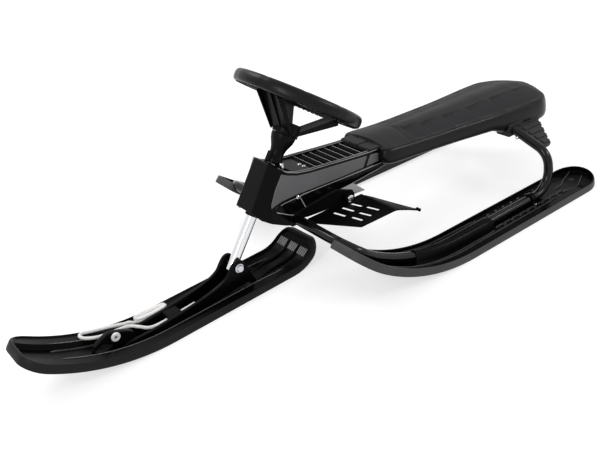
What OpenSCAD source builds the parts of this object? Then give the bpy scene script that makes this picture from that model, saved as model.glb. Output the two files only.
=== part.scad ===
// Ski sled with a steered front ski, a steering wheel, a long seat and a foot brake.
// X points forward, Y to the rider's left, Z up. The origin is on the ground,
// midway between the front tip and the seat's rear end.

/* [Skis] */
// Length of the sled from the front tip to the seat's rear end
sled_l = 1234; // [1200:2:1260]
// How far the rear skis end in front of the seat's rear end
ski_back = 44; // [30:1:50]
// Width over the two rear skis
track_w = 488; // [460:2:560]
// Width of a rear ski
ski_w = 92; // [80:1:110]
// Width of the front ski
front_w = 102; // [90:1:120]
// Thickness of a ski's sole
sole_t = 4; // [3:0.5:6]
// Height of the rim round a ski
rim_h = 16; // [12:1:20]
// Thickness of the rim round a ski
rim_t = 4; // [3:0.5:6]
// Height of the low ribs on a ski
rib_h = 4; // [2:0.5:6]
// Radius of the rear skis' upturned noses
rear_nose_r = 400; // [330:5:420]
// Where the rear skis' noses start to rise
rear_nose_x = -168; // [-180:2:-120]
// Where the rear skis' noses end
rear_nose_end = 110; // [102:1:114]
// Radius of the rear skis' raised tails
rear_tail_r = 156; // [120:2:200]
// Length of the rear skis' raised tails
rear_tail_l = 60; // [50:2:70]
// Radius of the front ski's nose
front_nose_r = 386; // [350:2:430]
// Length of the front ski's nose
front_nose_l = 245; // [220:5:260]
// Radius of the front ski's upturned tail
front_tail_r = 80; // [76:1:95]
// Where the front ski's tail ends
front_tail_end = 42; // [36:1:52]
// Length of the front ski's upturned tail
front_tail_l = 72; // [60:1:74]

/* [Frame tubes] */
// Diameter of the bent frame tubes
tube_d = 19; // [16:0.5:22]
// How far a frame tube's centre line lies inboard of the ski's middle
tube_in = 9; // [0:1:14]
// Where the front cross run of the tubes lies
cross_x = 91; // [88:1:94]
// Bend radius of the tubes
bend_r = 45; // [35:1:55]
// Where the rear arch of the tubes rises
arch_x = -458; // [-478:2:-438]
// Height of the rear arch's middle
arch_z = 126; // [122:1:126]

/* [Steering] */
// Lean of the steering axis back from upright
rake = 35; // [30:1:38]
// Forward place of the fork bolt
bolt_x = 212; // [202:1:222]
// Height of the fork bolt
bolt_z = 54; // [50:1:60]
// Diameter of the steering tube
stem_d = 20; // [18:0.5:22]
// Length of the steering tube up from the bolt
stem_l = 236; // [220:1:245]
// Distance from the bolt to the middle of the wheel's rim
wheel_up = 320; // [310:1:330]
// Outer radius of the steering wheel
wheel_r = 120; // [105:1:130]
// Width of the wheel's rim
grip_w = 26; // [20:1:30]
// Height of the wheel's rim
grip_h = 23; // [18:1:28]
// Width of a wheel spoke
spoke_w = 26; // [18:1:32]
// Thickness of a wheel spoke
spoke_t = 9; // [6:1:12]
// Radius of the wheel's hub
hub_r = 24; // [20:1:28]
// How far the steering is turned to the left as the sled stands
turn = 3.5; // [0:0.5:6]
// Radial clearance of the turning stem in its bearing
run_gap = 0.05; // [0.02:0.01:0.1]
// Diameter of the fork bolt
bolt_d = 8; // [6:0.5:10]

/* [Body] */
// Wall thickness of the moulded body
wall = 4; // [3:0.5:5]
// Width of the cowl and beam
beam_w = 88; // [80:1:96]
// Width of the cowl's front face
cowl_front_w = 54; // [48:1:60]
// Height of the cowl's top
cowl_top_z = 230; // [226:1:236]
// Height of the beam's underside
beam_z = 128; // [124:1:132]
// Height of the deck at the cowl
deck_front_z = 202; // [198:1:208]
// Height of the deck at the seat
deck_rear_z = 183; // [180:1:188]
// Where the deck meets the cowl's top
deck_front_x = 84; // [78:1:90]
// Number of louvres in the deck
louvres = 6; // [5:1:12]

/* [Seat] */
// Front end of the seat
seat_front_x = -112; // [-120:1:-106]
// Width of the seat at its front
seat_front_w = 146; // [130:2:160]
// Width of the seat at its widest
seat_rear_w = 190; // [180:2:200]
// Height of the seat's top edge at its front
seat_edge_z = 178; // [172:1:184]
// Slope of the seat down to the rear
seat_tilt = 2.2; // [1.5:0.1:3]
// Height of the shell's side at the front
shell_front_h = 22; // [18:1:26]
// Height of the shell's side at the rear
shell_rear_h = 31; // [26:1:36]
// Thickness of the pad at its edge
pad_edge = 5; // [3:0.5:8]
// Crown of the pad over its edge at the front
crown_front = 8; // [4:1:12]
// Crown of the pad over its edge at the rear
crown_rear = 20; // [14:1:24]
// Gap between the soft pad and its shell
soft_gap = 0.3; // [0.2:0.1:0.5]

/* [Foot brake] */
// Forward place of the brake's pivot
pivot_x = -24; // [-34:1:-14]
// Height of the brake's pivot
pivot_z = 117; // [110:1:119]
// Thickness of the brake plate
plate_t = 3; // [2:0.5:4]
// Distance from the middle to a wing's inner edge
wing_in = 52; // [50:1:60]
// Distance from the middle to a wing's outer edge
wing_out = 146; // [130:1:150]

/* [Hidden] */
$fn = 48;
eps = 0.01;
big = 400;

front_tip = sled_l / 2;
seat_rear_x = -sled_l / 2;
rear_tail = seat_rear_x + ski_back;
ski_y = (track_w - ski_w) / 2;
seat_fit = 0.3;
deck_rear_x = seat_front_x + 1.2;
tube_r = tube_d / 2;
tube_y = ski_y - tube_in;
stem_dir = [-sin(rake), 0, cos(rake)];
stem_foot = [bolt_x, 0, bolt_z];

// Length and height of an arc's end from its start, and the angle that it turns
function arc_rise(r, l) = r - sqrt(r * r - l * l);

// Vectors
function unit(v) = v / norm(v);
function at_stem(s) = stem_foot + s * stem_dir;

// Points on the arc that rounds a corner of a route
function corner(a, b, c, r, n) =
    let (u = unit(a - b), v = unit(c - b), h = acos(u * v) / 2,
         m = b + unit(u + v) * r / sin(h), s = b + u * r / tan(h) - m, e = b + v * r / tan(h) - m,
         f = 180 - 2 * h)
    [for (k = [0 : n]) m + (s * sin((1 - k / n) * f) + e * sin(k / n * f)) / sin(f)];

// Rings of a tube along a route, carried along without twist
function cross_of(t) = unit(abs(t.z) < 0.9 ? cross(t, [0, 0, 1]) : cross(t, [1, 0, 0]));
function tangent(p, i) = unit(p[min(i + 1, len(p) - 1)] - p[max(i - 1, 0)]);
function normals(p, i = 0, last = undef) =
    i >= len(p) ? [] :
    let (t = tangent(p, i), g = last == undef ? cross_of(t) : last, m = unit(g - (g * t) * t))
    concat([m], normals(p, i + 1, m));
function ring(c, t, m, r, n) =
    let (b = cross(t, m)) [for (k = [0 : n - 1]) c + r * (cos(360 * k / n) * m + sin(360 * k / n) * b)];

module swept_tube(p, r, n) {
    m = normals(p);
    pts = [for (i = [0 : len(p) - 1]) each ring(p[i], tangent(p, i), m[i], r, n)];
    last = (len(p) - 1) * n;
    faces = concat(
        [[for (k = [0 : n - 1]) k]],
        [for (i = [0 : len(p) - 2], k = [0 : n - 1])
            [i * n + k, (i + 1) * n + k, (i + 1) * n + (k + 1) % n, i * n + (k + 1) % n]],
        [[for (k = [n - 1 : -1 : 0]) last + k]]);
    polyhedron(pts, faces);
}

module left_and_right() { children(); mirror([0, 1, 0]) children(); }

// Turns a piece of the front ski with the steering, the sole flat on the ground
module on_ski() translate(stem_foot) rotate([0, 0, turn * cos(rake)]) translate(-stem_foot) children();

// Moves a shape from an upright axis onto the steering axis, s up from the bolt
module on_stem(s = 0) translate(at_stem(s)) rotate([0, -rake, 0]) children();

// Side view of a ski between two heights over its sole's underside
module ski_band(x0, l0, r0, x1, l1, r1, low, high) {
    translate([x0, low]) square([x1 - x0, high - low]);
    intersection() {
        translate([x1, r1]) difference() { circle(r1 - low, $fn = 128); circle(r1 - high, $fn = 128); }
        translate([x1, -1]) square([l1, r1]);
    }
    intersection() {
        translate([x0, r0]) difference() { circle(r0 - low, $fn = 128); circle(r0 - high, $fn = 128); }
        translate([x0 - l0, -1]) square([l0, r0]);
    }
}
module upright_band() rotate([90, 0, 0]) linear_extrude(big, center = true) children();

// Rear ski: plan with a round tail and a nose rounded on its outer side
rear_tail_x = rear_tail + rear_tail_l;
module rear_plan(inset) {
    w = ski_w - 2 * inset;
    x0 = rear_tail + inset;
    x1 = rear_nose_end - inset;
    r_out = 42 - inset;
    r_in = 14 - inset;
    translate([x0 + w / 2, 0]) circle(w / 2);
    translate([x0 + w / 2, -w / 2]) square([x1 - x0 - w / 2 - r_out, w]);
    translate([x1 - r_out - eps, -w / 2 + r_in]) square([r_out - r_in + eps, w - r_in - r_out]);
    translate([x1 - r_out - eps, -w / 2]) square([r_out - r_in + eps, r_in + eps]);
    translate([x1 - r_in - eps, -w / 2 + r_in]) square([r_in + eps, w - r_in - r_out]);
    translate([x1 - r_out, w / 2 - r_out]) circle(r_out);
    translate([x1 - r_in, -w / 2 + r_in]) circle(r_in);
}
module rear_band(low, high)
    upright_band() ski_band(rear_tail_x, rear_tail_l + 4, rear_tail_r, rear_nose_x,
        rear_nose_end - rear_nose_x + 4, rear_nose_r, low, high);
module rear_ski() translate([0, ski_y, 0]) {
    difference() {
        intersection() { linear_extrude(big) rear_plan(0); rear_band(0, rim_h); }
        intersection() { linear_extrude(big) rear_plan(rim_t); rear_band(sole_t, rim_h + 20); }
        translate([cross_x, -ski_w, cross_z]) rotate([-90, 0, 0]) cylinder(r = tube_r + 1, h = 1.45 * ski_w);
        translate([cross_x, -ski_w / 2 - 1, cross_z]) rotate([-90, 0, 0]) cylinder(r = tube_r + 3, h = rim_t + 2);
    }
    // Low ribs along both sides of the tube
    for (y = [-tube_in - 20, -tube_in + 20])
        intersection() {
            translate([rear_tail + 70, y - 2, 0]) cube([rear_nose_x - rear_tail, 4, big]);
            rear_band(sole_t / 2, sole_t + rib_h);
        }
}
module ski_left() color("#17181a") rear_ski();
module ski_right() color("#17181a") mirror([0, 1, 0]) rear_ski();

// Front ski
front_nose_x = front_tip - front_nose_l;
front_tail_x = front_tail_end + front_tail_l;
module front_plan(inset) {
    w = front_w - 2 * inset;
    r1 = 32 - inset;
    r0 = 24 - inset;
    x0 = front_tail_end + inset;
    x1 = front_tip - inset;
    translate([x0 + r0, -w / 2]) square([x1 - x0 - r0 - r1, w]);
    translate([x1 - r1 - 6, -w / 2 + r1]) square([r1 + 6, w - 2 * r1]);
    translate([x0, -w / 2 + r0]) square([r0 + 6, w - 2 * r0]);
    for (s = [-1, 1]) {
        translate([x1 - r1, s * (w / 2 - r1)]) circle(r1);
        translate([x0 + r0, s * (w / 2 - r0)]) circle(r0);
    }
}
module front_band(low, high)
    upright_band() ski_band(front_tail_x, front_tail_l + 4, front_tail_r, front_nose_x, front_nose_l + 4,
        front_nose_r, low, high);
module front_ski() color("#17181a") on_ski() {
    difference() {
        intersection() { linear_extrude(big) front_plan(0); front_band(0, rim_h); }
        intersection() { linear_extrude(big) front_plan(rim_t); front_band(sole_t, rim_h + 20); }
    }
    for (y = [-36, 36])
        intersection() {
            translate([front_tail_x + 6, y - 2, 0]) cube([front_tip - front_tail_x - 66, 4, big]);
            front_band(sole_t / 2, sole_t + rib_h);
        }
}

// Fork: two walls that rise round the bolt and run forward as ridges
fork_in = stem_d / 2 + 3;
fork_t = 7;
fork_l = 230;
module fork_wall() intersection() {
    translate([0, fork_in + fork_t, 0]) rotate([90, 0, 0]) linear_extrude(fork_t)
        difference() {
            union() {
                translate([bolt_x, bolt_z]) circle(14);
                polygon([[bolt_x - 26, 0], [bolt_x - 13, bolt_z + 4], [bolt_x + 13, bolt_z + 6],
                    [bolt_x + 34, 38], [bolt_x + 110, 28], [bolt_x + fork_l, 20], [bolt_x + fork_l, 0]]);
            }
            translate([bolt_x, bolt_z]) circle(bolt_d / 2);
        }
    front_band(sole_t, front_tail_r - 1);
}
module ski_fork() color("#17181a") on_ski() left_and_right() fork_wall();
module fork_bolt() color("#b9bcc0") on_ski() translate([bolt_x, 0, bolt_z]) rotate([90, 0, 0]) {
    cylinder(d = bolt_d, h = 2 * (fork_in + fork_t), center = true);
    for (s = [-1, 1]) translate([0, 0, s * (fork_in + fork_t + 2)]) cylinder(r = 7.5, h = 4, center = true);
}
// Places of the cross block and the cleat from where the front nose starts to rise
block_back = 24;
cleat_ahead = 90;
cross_block_x = front_nose_x - block_back;
module cross_block() color("#222326") on_ski()
    translate([cross_block_x - 13, 0, 0]) difference() {
        translate([0, -fork_in, sole_t]) cube([26, 2 * fork_in, 20]);
        translate([-1, 0, sole_t + 10]) rotate([0, 90, 0]) cylinder(r = rope_d / 2 + 1, h = 28);
    }
cleat_x = front_nose_x + cleat_ahead;
module rope_cleat() color("#1b1c1e") on_ski() intersection() {
    front_band(sole_t, front_tail_r - 1);
    translate([0, 5, 0]) rotate([90, 0, 0]) linear_extrude(10) polygon([[cleat_x - 36, 0],
        [cleat_x - 36, 30], [cleat_x, 46], [cleat_x + 34, 40], [cleat_x + 34, 34], [cleat_x + 6, 34],
        [cleat_x + 6, 0]]);
}
module cleat_pin() color("#e8e8e6") on_ski() translate([cleat_x - 4, 7, 36]) rotate([90, 0, 0])
    difference() { cylinder(r = 8, h = 4, center = true); cylinder(r = 3, h = 5, center = true); }

// Frame tubes: a cross run under the cowl, back along the ski and up into a rear arch
tube_low = sole_t + tube_r + seat_fit;
nose_turn = asin((cross_x - bend_r - rear_nose_x) / (rear_nose_r - tube_low));
function on_nose(a) = [rear_nose_x + (rear_nose_r - tube_low) * sin(a), tube_y,
    rear_nose_r - (rear_nose_r - tube_low) * cos(a)];
cross_z = on_nose(asin((cross_x - rear_nose_x) / (rear_nose_r - tube_low))).z + 1;
arch_foot = [arch_x, tube_y, tube_low];
arch_knee = [arch_x, tube_y - 8, 92];
arch_top = [arch_x, 84, arch_z];
tube_path = concat(
    [[cross_x, 2, cross_z]],
    corner([cross_x, 0, cross_z], [cross_x, tube_y, cross_z], on_nose(nose_turn), bend_r, 8),
    [for (k = [1 : 14]) on_nose(nose_turn * (1 - k / 14))],
    corner([rear_nose_x, tube_y, tube_low], arch_foot, arch_knee, bend_r, 8),
    corner(arch_foot, arch_knee, arch_top, 40, 6),
    corner(arch_knee, arch_top, [arch_x, 0, arch_z], 40, 5),
    [[arch_x, 2, arch_z]]);
module frame_tube_left() color("#26272a") swept_tube(tube_path, tube_r, 16);
module frame_tube_right() color("#26272a") mirror([0, 1, 0]) swept_tube(tube_path, tube_r, 16);

// Clamps that hold a tube down on its ski
clamp_x = [-182, -395];
clamp_t = 3;
module clamp(x) translate([x, tube_y, tube_low]) rotate([0, 90, 0]) linear_extrude(18, center = true)
    difference() {
        intersection() {
            union() {
                circle(tube_r + clamp_t);
                translate([tube_low - sole_t - clamp_t, -tube_r - 8]) square([clamp_t, tube_d + 16]);
            }
            translate([-big / 2 + tube_low - sole_t, 0]) square(big, center = true);
        }
        circle(tube_r);
    }
module clamps() for (x = clamp_x) clamp(x);
module clamps_left() color("#1b1c1e") clamps();
module clamps_right() color("#1b1c1e") mirror([0, 1, 0]) clamps();

// Pods that hold the cross run of the tubes under the cowl
pod_in = 14;
pod_l = 40;
module pod() difference() {
    translate([cross_x - 20, pod_in, cross_z - 16]) cube([40, pod_l, beam_z - cross_z + 16]);
    translate([cross_x, 0, cross_z]) rotate([-90, 0, 0]) cylinder(d = tube_d, h = big, center = true);
}
module pod_left() color("#17181a") pod();
module pod_right() color("#17181a") mirror([0, 1, 0]) pod();

// Cowl round the steering stem
bearing_r = stem_d / 2 + 3.5;
opening_r = 23;
module corner_post(r) rotate([0, 0, 22.5]) cylinder(r = r, h = 2 * r, center = true, $fn = 8);
module cowl_form(inset) {
    hull() {
        for (y = [-1, 1]) {
            translate([bolt_x - 98, y * (cowl_front_w / 2 - 11), cowl_top_z - 8]) corner_post(8 - inset);
            translate([bolt_x - 48, y * (cowl_front_w / 2 - 10), beam_z + 18]) corner_post(8 - inset);
            translate([bolt_x - 116, y * (beam_w / 2 - 7.4), cowl_top_z - 19]) corner_post(8 - inset);
            translate([bolt_x - 76, y * (beam_w / 2 - 7.7), beam_z + 15]) corner_post(8 - inset);
            translate([deck_front_x - 4, y * (beam_w / 2 - 8), deck_front_z - 2]) corner_post(8 - inset);
            translate([deck_front_x - 4, y * (beam_w / 2 - 8), beam_z + 8]) corner_post(8 - inset);
        }
    }
}
module cowl() color("#101113") difference() {
    cowl_form(0);
    cowl_form(wall);
    on_stem(0) rotate([0, 0, 90]) cylinder(r = bearing_r, h = wheel_up);
    on_stem(bearing_top - 4) rotate([0, 0, 90]) cylinder(r = opening_r, h = 90);
}
bearing_low = 96;
bearing_top = 192;
module stem_bearing() color("#2a2b2e") on_stem(bearing_low) difference() {
    cylinder(r = bearing_r, h = bearing_top - bearing_low);
    translate([0, 0, -1]) cylinder(r = stem_d / 2 + run_gap, h = bearing_top - bearing_low + 2);
}

// Beam from the cowl back under the seat, open below
beam_front_x = deck_front_x - 12;
beam_rear_x = -215;
deck_drop = 6;
shell_gap = 0.15;
shell_fall = (shell_rear_h - shell_front_h) / (seat_front_x - seat_rear_x);
function shell_low(x) =
    seat_edge_z - shell_front_h - shell_gap - (seat_front_x - x) * (tan(seat_tilt) + shell_fall);
function deck_z(x) =
    deck_rear_z + (x - deck_rear_x) / (deck_front_x - deck_rear_x) * (deck_front_z - deck_rear_z);
module beam_side(inset) polygon([
    [beam_front_x - inset, beam_z + (inset > 0 ? -1 : 0)],
    [beam_front_x - inset, deck_z(beam_front_x) - deck_drop - inset],
    [deck_rear_x + inset, deck_z(deck_rear_x) - deck_drop - inset],
    [deck_rear_x + inset, shell_low(seat_front_x) - inset],
    [beam_rear_x + inset, shell_low(beam_rear_x) - inset],
    [beam_rear_x + inset, shell_low(beam_rear_x) - 8 - (inset > 0 ? 1 : 0)],
    [seat_front_x - 10, beam_z + 6 - (inset > 0 ? 1 : 0)]]);
module beam() color("#101113") difference() {
    rotate([90, 0, 0]) linear_extrude(beam_w, center = true) beam_side(0);
    rotate([90, 0, 0]) linear_extrude(beam_w - 2 * wall, center = true) beam_side(wall);
}
// Height of a side panel's lower edge over the beam's underside, at the rear and at the front
panel_rear_up = 32;
panel_front_up = 34;
module side_panel() translate([0, beam_w / 2, 0]) rotate([-90, 0, 0]) mirror([0, 1, 0])
    linear_extrude(2.5)
    polygon([[beam_front_x - 2, deck_z(beam_front_x) - 12], [deck_rear_x + 6, deck_z(deck_rear_x) - 11],
        [deck_rear_x + 10, beam_z + panel_rear_up], [beam_front_x - 2, beam_z + panel_front_up]]);
module side_panel_left() color("#3c3e42") side_panel();
module side_panel_right() color("#3c3e42") mirror([0, 1, 0]) side_panel();

// Louvred deck on the beam
deck_tilt = atan((deck_front_z - deck_rear_z) / (deck_front_x - deck_rear_x));
latch_l = 20;
deck_l = (beam_front_x - deck_rear_x) / cos(deck_tilt) - latch_l - 8;
louvre_t = 5;
module on_deck(l) translate([beam_front_x, 0, deck_z(beam_front_x) - deck_drop]) rotate([0, -deck_tilt, 0])
    translate([-l, 0, 0]) children();
module grille() color("#17181a") on_deck(deck_l) {
    translate([0, -beam_w / 2 + 6, 0]) cube([deck_l - 2, beam_w - 12, 3]);
    for (k = [0 : louvres - 1])
        translate([6 + k * (deck_l - 50) / louvres, -beam_w / 2 + 10, 3 - eps])
            cube([louvre_t, beam_w - 20, 3]);
}
module latch_block() color("#1b1c1e") on_deck(deck_l + latch_l + 4) translate([0, 8 - beam_w / 2, 0])
    cube([latch_l, beam_w - 16, 8]);

// Seat: a hard shell with a soft crowned pad
seat_l = seat_front_x - seat_rear_x;
module in_seat() translate([seat_front_x, 0, seat_edge_z]) rotate([0, -seat_tilt, 0]) children();
module seat_plan(inset) hull() for (s = [-1, 1]) {
    translate([-14 - inset, s * (seat_front_w / 2 - 14 - inset)]) circle(14, $fn = 32);
    translate([-seat_l * 0.4, s * (seat_front_w / 2 + 6 - 20 - inset)]) circle(20, $fn = 32);
    translate([-seat_l * 0.76, s * (seat_rear_w / 2 - 30 - inset)]) circle(30, $fn = 32);
    translate([-seat_l + 40 + inset, s * (seat_rear_w / 2 - 48 - inset)]) circle(40, $fn = 32);
}
module seat_side(low, top) rotate([90, 0, 0]) linear_extrude(big, center = true)
    polygon([[0, -shell_front_h + low], [0, -top], [-seat_l, -top], [-seat_l, -shell_rear_h + low]]);
module seat_shell() color("#101113") in_seat() difference() {
    intersection() {
        translate([0, 0, -60]) linear_extrude(100) seat_plan(0);
        seat_side(0, pad_edge);
    }
    difference() {
        intersection() {
            translate([0, 0, -60]) linear_extrude(100) seat_plan(wall);
            seat_side(-10, pad_edge + wall);
        }
        translate([-seat_l, -beam_w / 2, -60]) cube([seat_l, beam_w, 60]);
        for (k = [1 : 4]) translate([-k * seat_l / 5, -big / 2, -60]) cube([wall, big, 60]);
    }
}
module seat_pad() color("#1d1e20") in_seat() hull() {
    translate([0, 0, -pad_edge + soft_gap]) linear_extrude(pad_edge - soft_gap) seat_plan(2);
    translate([-30, 0, crown_front - 1]) cube([20, 60, 2], center = true);
    translate([-seat_l + 50, 0, crown_rear - 1]) cube([60, 90, 2], center = true);
}

// Stepped brackets that hold the rear arch under the seat
bracket_in = 60;
bracket_l = 34;
gusset_l = 84;
gusset_w = 78;
gusset_steps = 5;
arch_slope = atan((arch_top.z - arch_knee.z) / (arch_knee.y - arch_top.y));
module rear_bracket() difference() {
    union() {
        translate([0, bracket_in, 0]) rotate([-90, 0, 0]) mirror([0, 1, 0]) linear_extrude(bracket_l)
            polygon([[arch_x - 28, shell_low(arch_x - 28)], [arch_x - 28, arch_z - 16], [arch_x + 16, arch_z - 16],
                [arch_x + 16, shell_low(arch_x + 16)]]);
        // Stepped gusset behind the tube
        translate(arch_top) rotate([-arch_slope, 0, 0]) for (k = [0 : gusset_steps - 1]) {
            w = gusset_w - k * (gusset_w - 24) / gusset_steps;
            l = gusset_l / gusset_steps;
            translate([-w, k * l - (k > 0 ? 1 : 0), -5]) cube([w, l + (k > 0 ? 1 : 0), 10]);
        }
    }
    swept_tube(tube_path, tube_r, 16);
}
module rear_bracket_left() color("#3c3e42") rear_bracket();
module rear_bracket_right() color("#3c3e42") mirror([0, 1, 0]) rear_bracket();

// Steering stem, neck, hub and wheel
module steering_stem() color("#c4c7ca") difference() {
    on_stem() translate([0, 0, -12]) cylinder(d = stem_d, h = stem_l + 12);
    on_ski() translate(stem_foot) rotate([90, 0, 0])
        cylinder(r = bolt_d / 2 + run_gap, h = big, center = true);
}
neck_low = bearing_top + 5;
module wheel_neck() color("#17181a") on_stem(neck_low) difference() {
    cylinder(r1 = 17, r2 = 15, h = hub_low - neck_low);
    translate([0, 0, -1]) cylinder(d = stem_d, h = stem_l - neck_low + 1);
}
hub_low = wheel_up - 68;
module spoke(a) rotate([0, 0, a]) rotate([90, 0, 0]) linear_extrude(spoke_w, center = true)
    polygon([[hub_r - 8, hub_low + 4], [wheel_r, wheel_up - spoke_t / 2], [wheel_r, wheel_up + spoke_t / 2],
        [hub_r - 8, hub_low + 4 + spoke_t]]);
module wheel_hub() color("#17181a") on_stem() {
    translate([0, 0, hub_low]) cylinder(r = hub_r, h = 24);
    intersection() {
        for (a = [48, -48, 180]) spoke(a + turn);
        cylinder(r = wheel_r - grip_w, h = wheel_up + grip_h);
    }
}
module wheel_rim() color("#101113") on_stem(wheel_up) rotate_extrude($fn = 96)
    translate([wheel_r - grip_w / 2, 0]) {
        square([grip_w - 12, grip_h], center = true);
        square([grip_w, grip_h - 12], center = true);
        for (x = [-1, 1], y = [-1, 1]) translate([x * (grip_w / 2 - 6), y * (grip_h / 2 - 6)]) circle(6, $fn = 24);
    }

// Foot brake: hanger on the beam, pivot rod and the winged plate with its rear claws
rod_r = 5;
hanger_t = 6;
hanger_l = 26;
hanger_up = 22;
hanger_down = 12;
ear_l = 22;
ear_t = 8;
ear_h = 18;
rod_over = 8;
wing_z = pivot_z - 6;
module pivot_bore(r) translate([pivot_x, 0, pivot_z]) rotate([90, 0, 0])
    cylinder(r = r, h = 2 * wing_out, center = true);
module brake_hanger() color("#3c3e42") difference() {
    left_and_right() translate([pivot_x - hanger_l / 2, beam_w / 2, pivot_z - hanger_down])
        cube([hanger_l, hanger_t, beam_z + hanger_up - pivot_z + hanger_down]);
    pivot_bore(rod_r + run_gap);
}
module brake_pivot() color("#b9bcc0") translate([pivot_x, 0, pivot_z]) rotate([90, 0, 0])
    cylinder(r = rod_r, h = 2 * (wing_in + rod_over), center = true);
wing_nose_x = pivot_x + 90;
wing_rear_x = pivot_x - 34;
claw_l = 62;
claw_drop = 24;
module wing() {
    translate([0, 0, wing_z - plate_t]) linear_extrude(plate_t) difference() {
        polygon([[wing_nose_x, wing_in], [wing_nose_x, wing_in + 24], [pivot_x + 48, wing_out],
            [wing_rear_x, wing_out], [wing_rear_x, wing_in]]);
        for (i = [0 : 2], j = [0 : 1])
            translate([pivot_x + 42 - i * 20 - j * 18, wing_in + 16 + j * 34]) rotate(25) square([7, 22]);
    }
    // Claw: the rear edge's outer part runs back and down to a tooth
    translate([0, wing_out - 40, 0]) rotate([-90, 0, 0]) mirror([0, 1, 0]) linear_extrude(40)
        polygon([[wing_rear_x + 5, wing_z - 1], [wing_rear_x, wing_z], [wing_rear_x - claw_l, wing_z - claw_drop],
            [wing_rear_x - claw_l, wing_z - claw_drop - plate_t - 6],
            [wing_rear_x - claw_l + plate_t, wing_z - claw_drop - plate_t - 1], [wing_rear_x, wing_z - plate_t],
            [wing_rear_x + 5, wing_z - plate_t + 1]]);
    // Ear on the pivot rod
    translate([pivot_x - ear_l / 2, wing_in, wing_z - plate_t]) cube([ear_l, ear_t, ear_h]);
}
module brake_plate() color("#2b2d30") difference() {
    left_and_right() wing();
    pivot_bore(rod_r);
}

// Rope: a run along the deck, a loop on the nose and a hank on the far side
rope_d = 6;
rope_r = rope_d / 2;
rope_route = [
    [302, 0, 16], [340, 0, 14], [376, 0, 12], [396, -1, 15], [410, -7, 22], [424, -15, 27], [442, -20, 27],
    [458, -21, 28], [474, -21, 31], [488, -23, 35], [499, -29, 38], [502, -36, 40], [496, -42, 39],
    [484, -43, 35], [468, -42, 31], [452, -41, 27], [436, -38, 24], [426, -35, 22], [416, -33, 21]];
module rope() color("#eceae4") on_ski() swept_tube(rope_route, rope_r, 8);
module rope_hank() color("#eceae4") on_ski() translate([344, -33, sole_t + 4.5]) rotate([0, -3, 0])
    linear_extrude(22) hull() { circle(11, $fn = 24); translate([59, 0]) circle(11, $fn = 24); }

ski_left();
ski_right();
front_ski();
ski_fork();
fork_bolt();
cross_block();
rope_cleat();
cleat_pin();
frame_tube_left();
frame_tube_right();
clamps_left();
clamps_right();
pod_left();
pod_right();
cowl();
beam();
side_panel_left();
side_panel_right();
grille();
latch_block();
seat_shell();
seat_pad();
rear_bracket_left();
rear_bracket_right();
stem_bearing();
steering_stem();
wheel_neck();
wheel_hub();
wheel_rim();
brake_hanger();
brake_pivot();
brake_plate();
rope();
rope_hank();
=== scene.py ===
"""Looks of a steerable ski sled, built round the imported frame. Shapes are written in millimetres."""
import math

import bpy
from mathutils import Matrix, Vector
from mathutils.geometry import delaunay_2d_cdt


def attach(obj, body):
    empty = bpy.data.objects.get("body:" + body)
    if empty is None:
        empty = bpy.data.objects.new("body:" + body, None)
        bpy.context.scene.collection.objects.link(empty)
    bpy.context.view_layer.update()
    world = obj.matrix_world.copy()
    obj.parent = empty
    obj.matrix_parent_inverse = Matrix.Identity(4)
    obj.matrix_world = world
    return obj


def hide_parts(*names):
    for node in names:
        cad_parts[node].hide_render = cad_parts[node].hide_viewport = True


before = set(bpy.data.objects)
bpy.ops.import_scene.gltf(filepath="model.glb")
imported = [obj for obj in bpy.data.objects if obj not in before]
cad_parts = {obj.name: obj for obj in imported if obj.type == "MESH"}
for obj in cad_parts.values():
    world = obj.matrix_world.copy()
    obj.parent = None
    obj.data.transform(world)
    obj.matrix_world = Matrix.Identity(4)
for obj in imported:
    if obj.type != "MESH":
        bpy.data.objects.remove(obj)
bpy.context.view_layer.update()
scene = bpy.context.scene
scene.view_settings.view_transform = "Standard"
MM = 0.001

# Sizes and places that several pieces share, most of them named in the part's source too
RAKE = math.radians(35)
TURN = math.radians(3.5)
YAW = TURN * math.cos(RAKE)
BOLT = Vector((212, 0, 54))
STEM_DIR = Vector((-math.sin(RAKE), 0, math.cos(RAKE)))
TUBE_R = 9.5
TUBE_Y = 189
TUBE_LOW = 13.8
CROSS_X = 91
COVER_REAR = -266
COVER_FRONT = -50
SADDLE_X = -395
BEND_R = 45
ARCH_BEND_R = 40
ARCH_X = -458
ARCH_Z = 126
ARCH_TOP_Y = 84
KNEE_Y = TUBE_Y - 8
KNEE_Z = 92
REAR_NOSE_X = -168
REAR_NOSE_R = 400
FRONT_NOSE_X = 372
FRONT_NOSE_R = 386
PIVOT_X = -24
PIVOT_Z = 117
SEAT_FRONT = -112
SEAT_REAR = -617
WHEEL_UP = 320
HUB_LOW = 252
NECK_LOW = 197
SIDES = ((1, "left"), (-1, "right"))

# Places of the edge material and of the ridge and bright colours on a ski, after the face's; the ridge and
# bright colours are painted highlights
EDGE, RIDGE, BRIGHT = 1, 2, 3


# Camera, light and floor
def make_camera():
    yaw, pitch, roll = (math.radians(a) for a in (-124.07, -29.54, -6.61))
    ahead = Vector((math.cos(pitch) * math.cos(yaw), math.cos(pitch) * math.sin(yaw), math.sin(pitch)))
    side = ahead.cross(Vector((0, 0, 1))).normalized()
    up = side.cross(ahead)
    right = side * math.cos(roll) + up * math.sin(roll)
    top = up * math.cos(roll) - side * math.sin(roll)
    data = bpy.data.cameras.new("camera")
    focal_px, width_px, sensor = 711.2, 600, 36
    data.lens = focal_px / width_px * sensor
    data.sensor_width = sensor
    cam = bpy.data.objects.new("camera", data)
    m = Matrix((right, top, -ahead)).transposed().to_4x4()
    eye = Vector((719.7, 982.07, 741.43))
    m.translation = eye * MM
    cam.matrix_world = m
    scene.collection.objects.link(cam)
    scene.camera = cam


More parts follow.
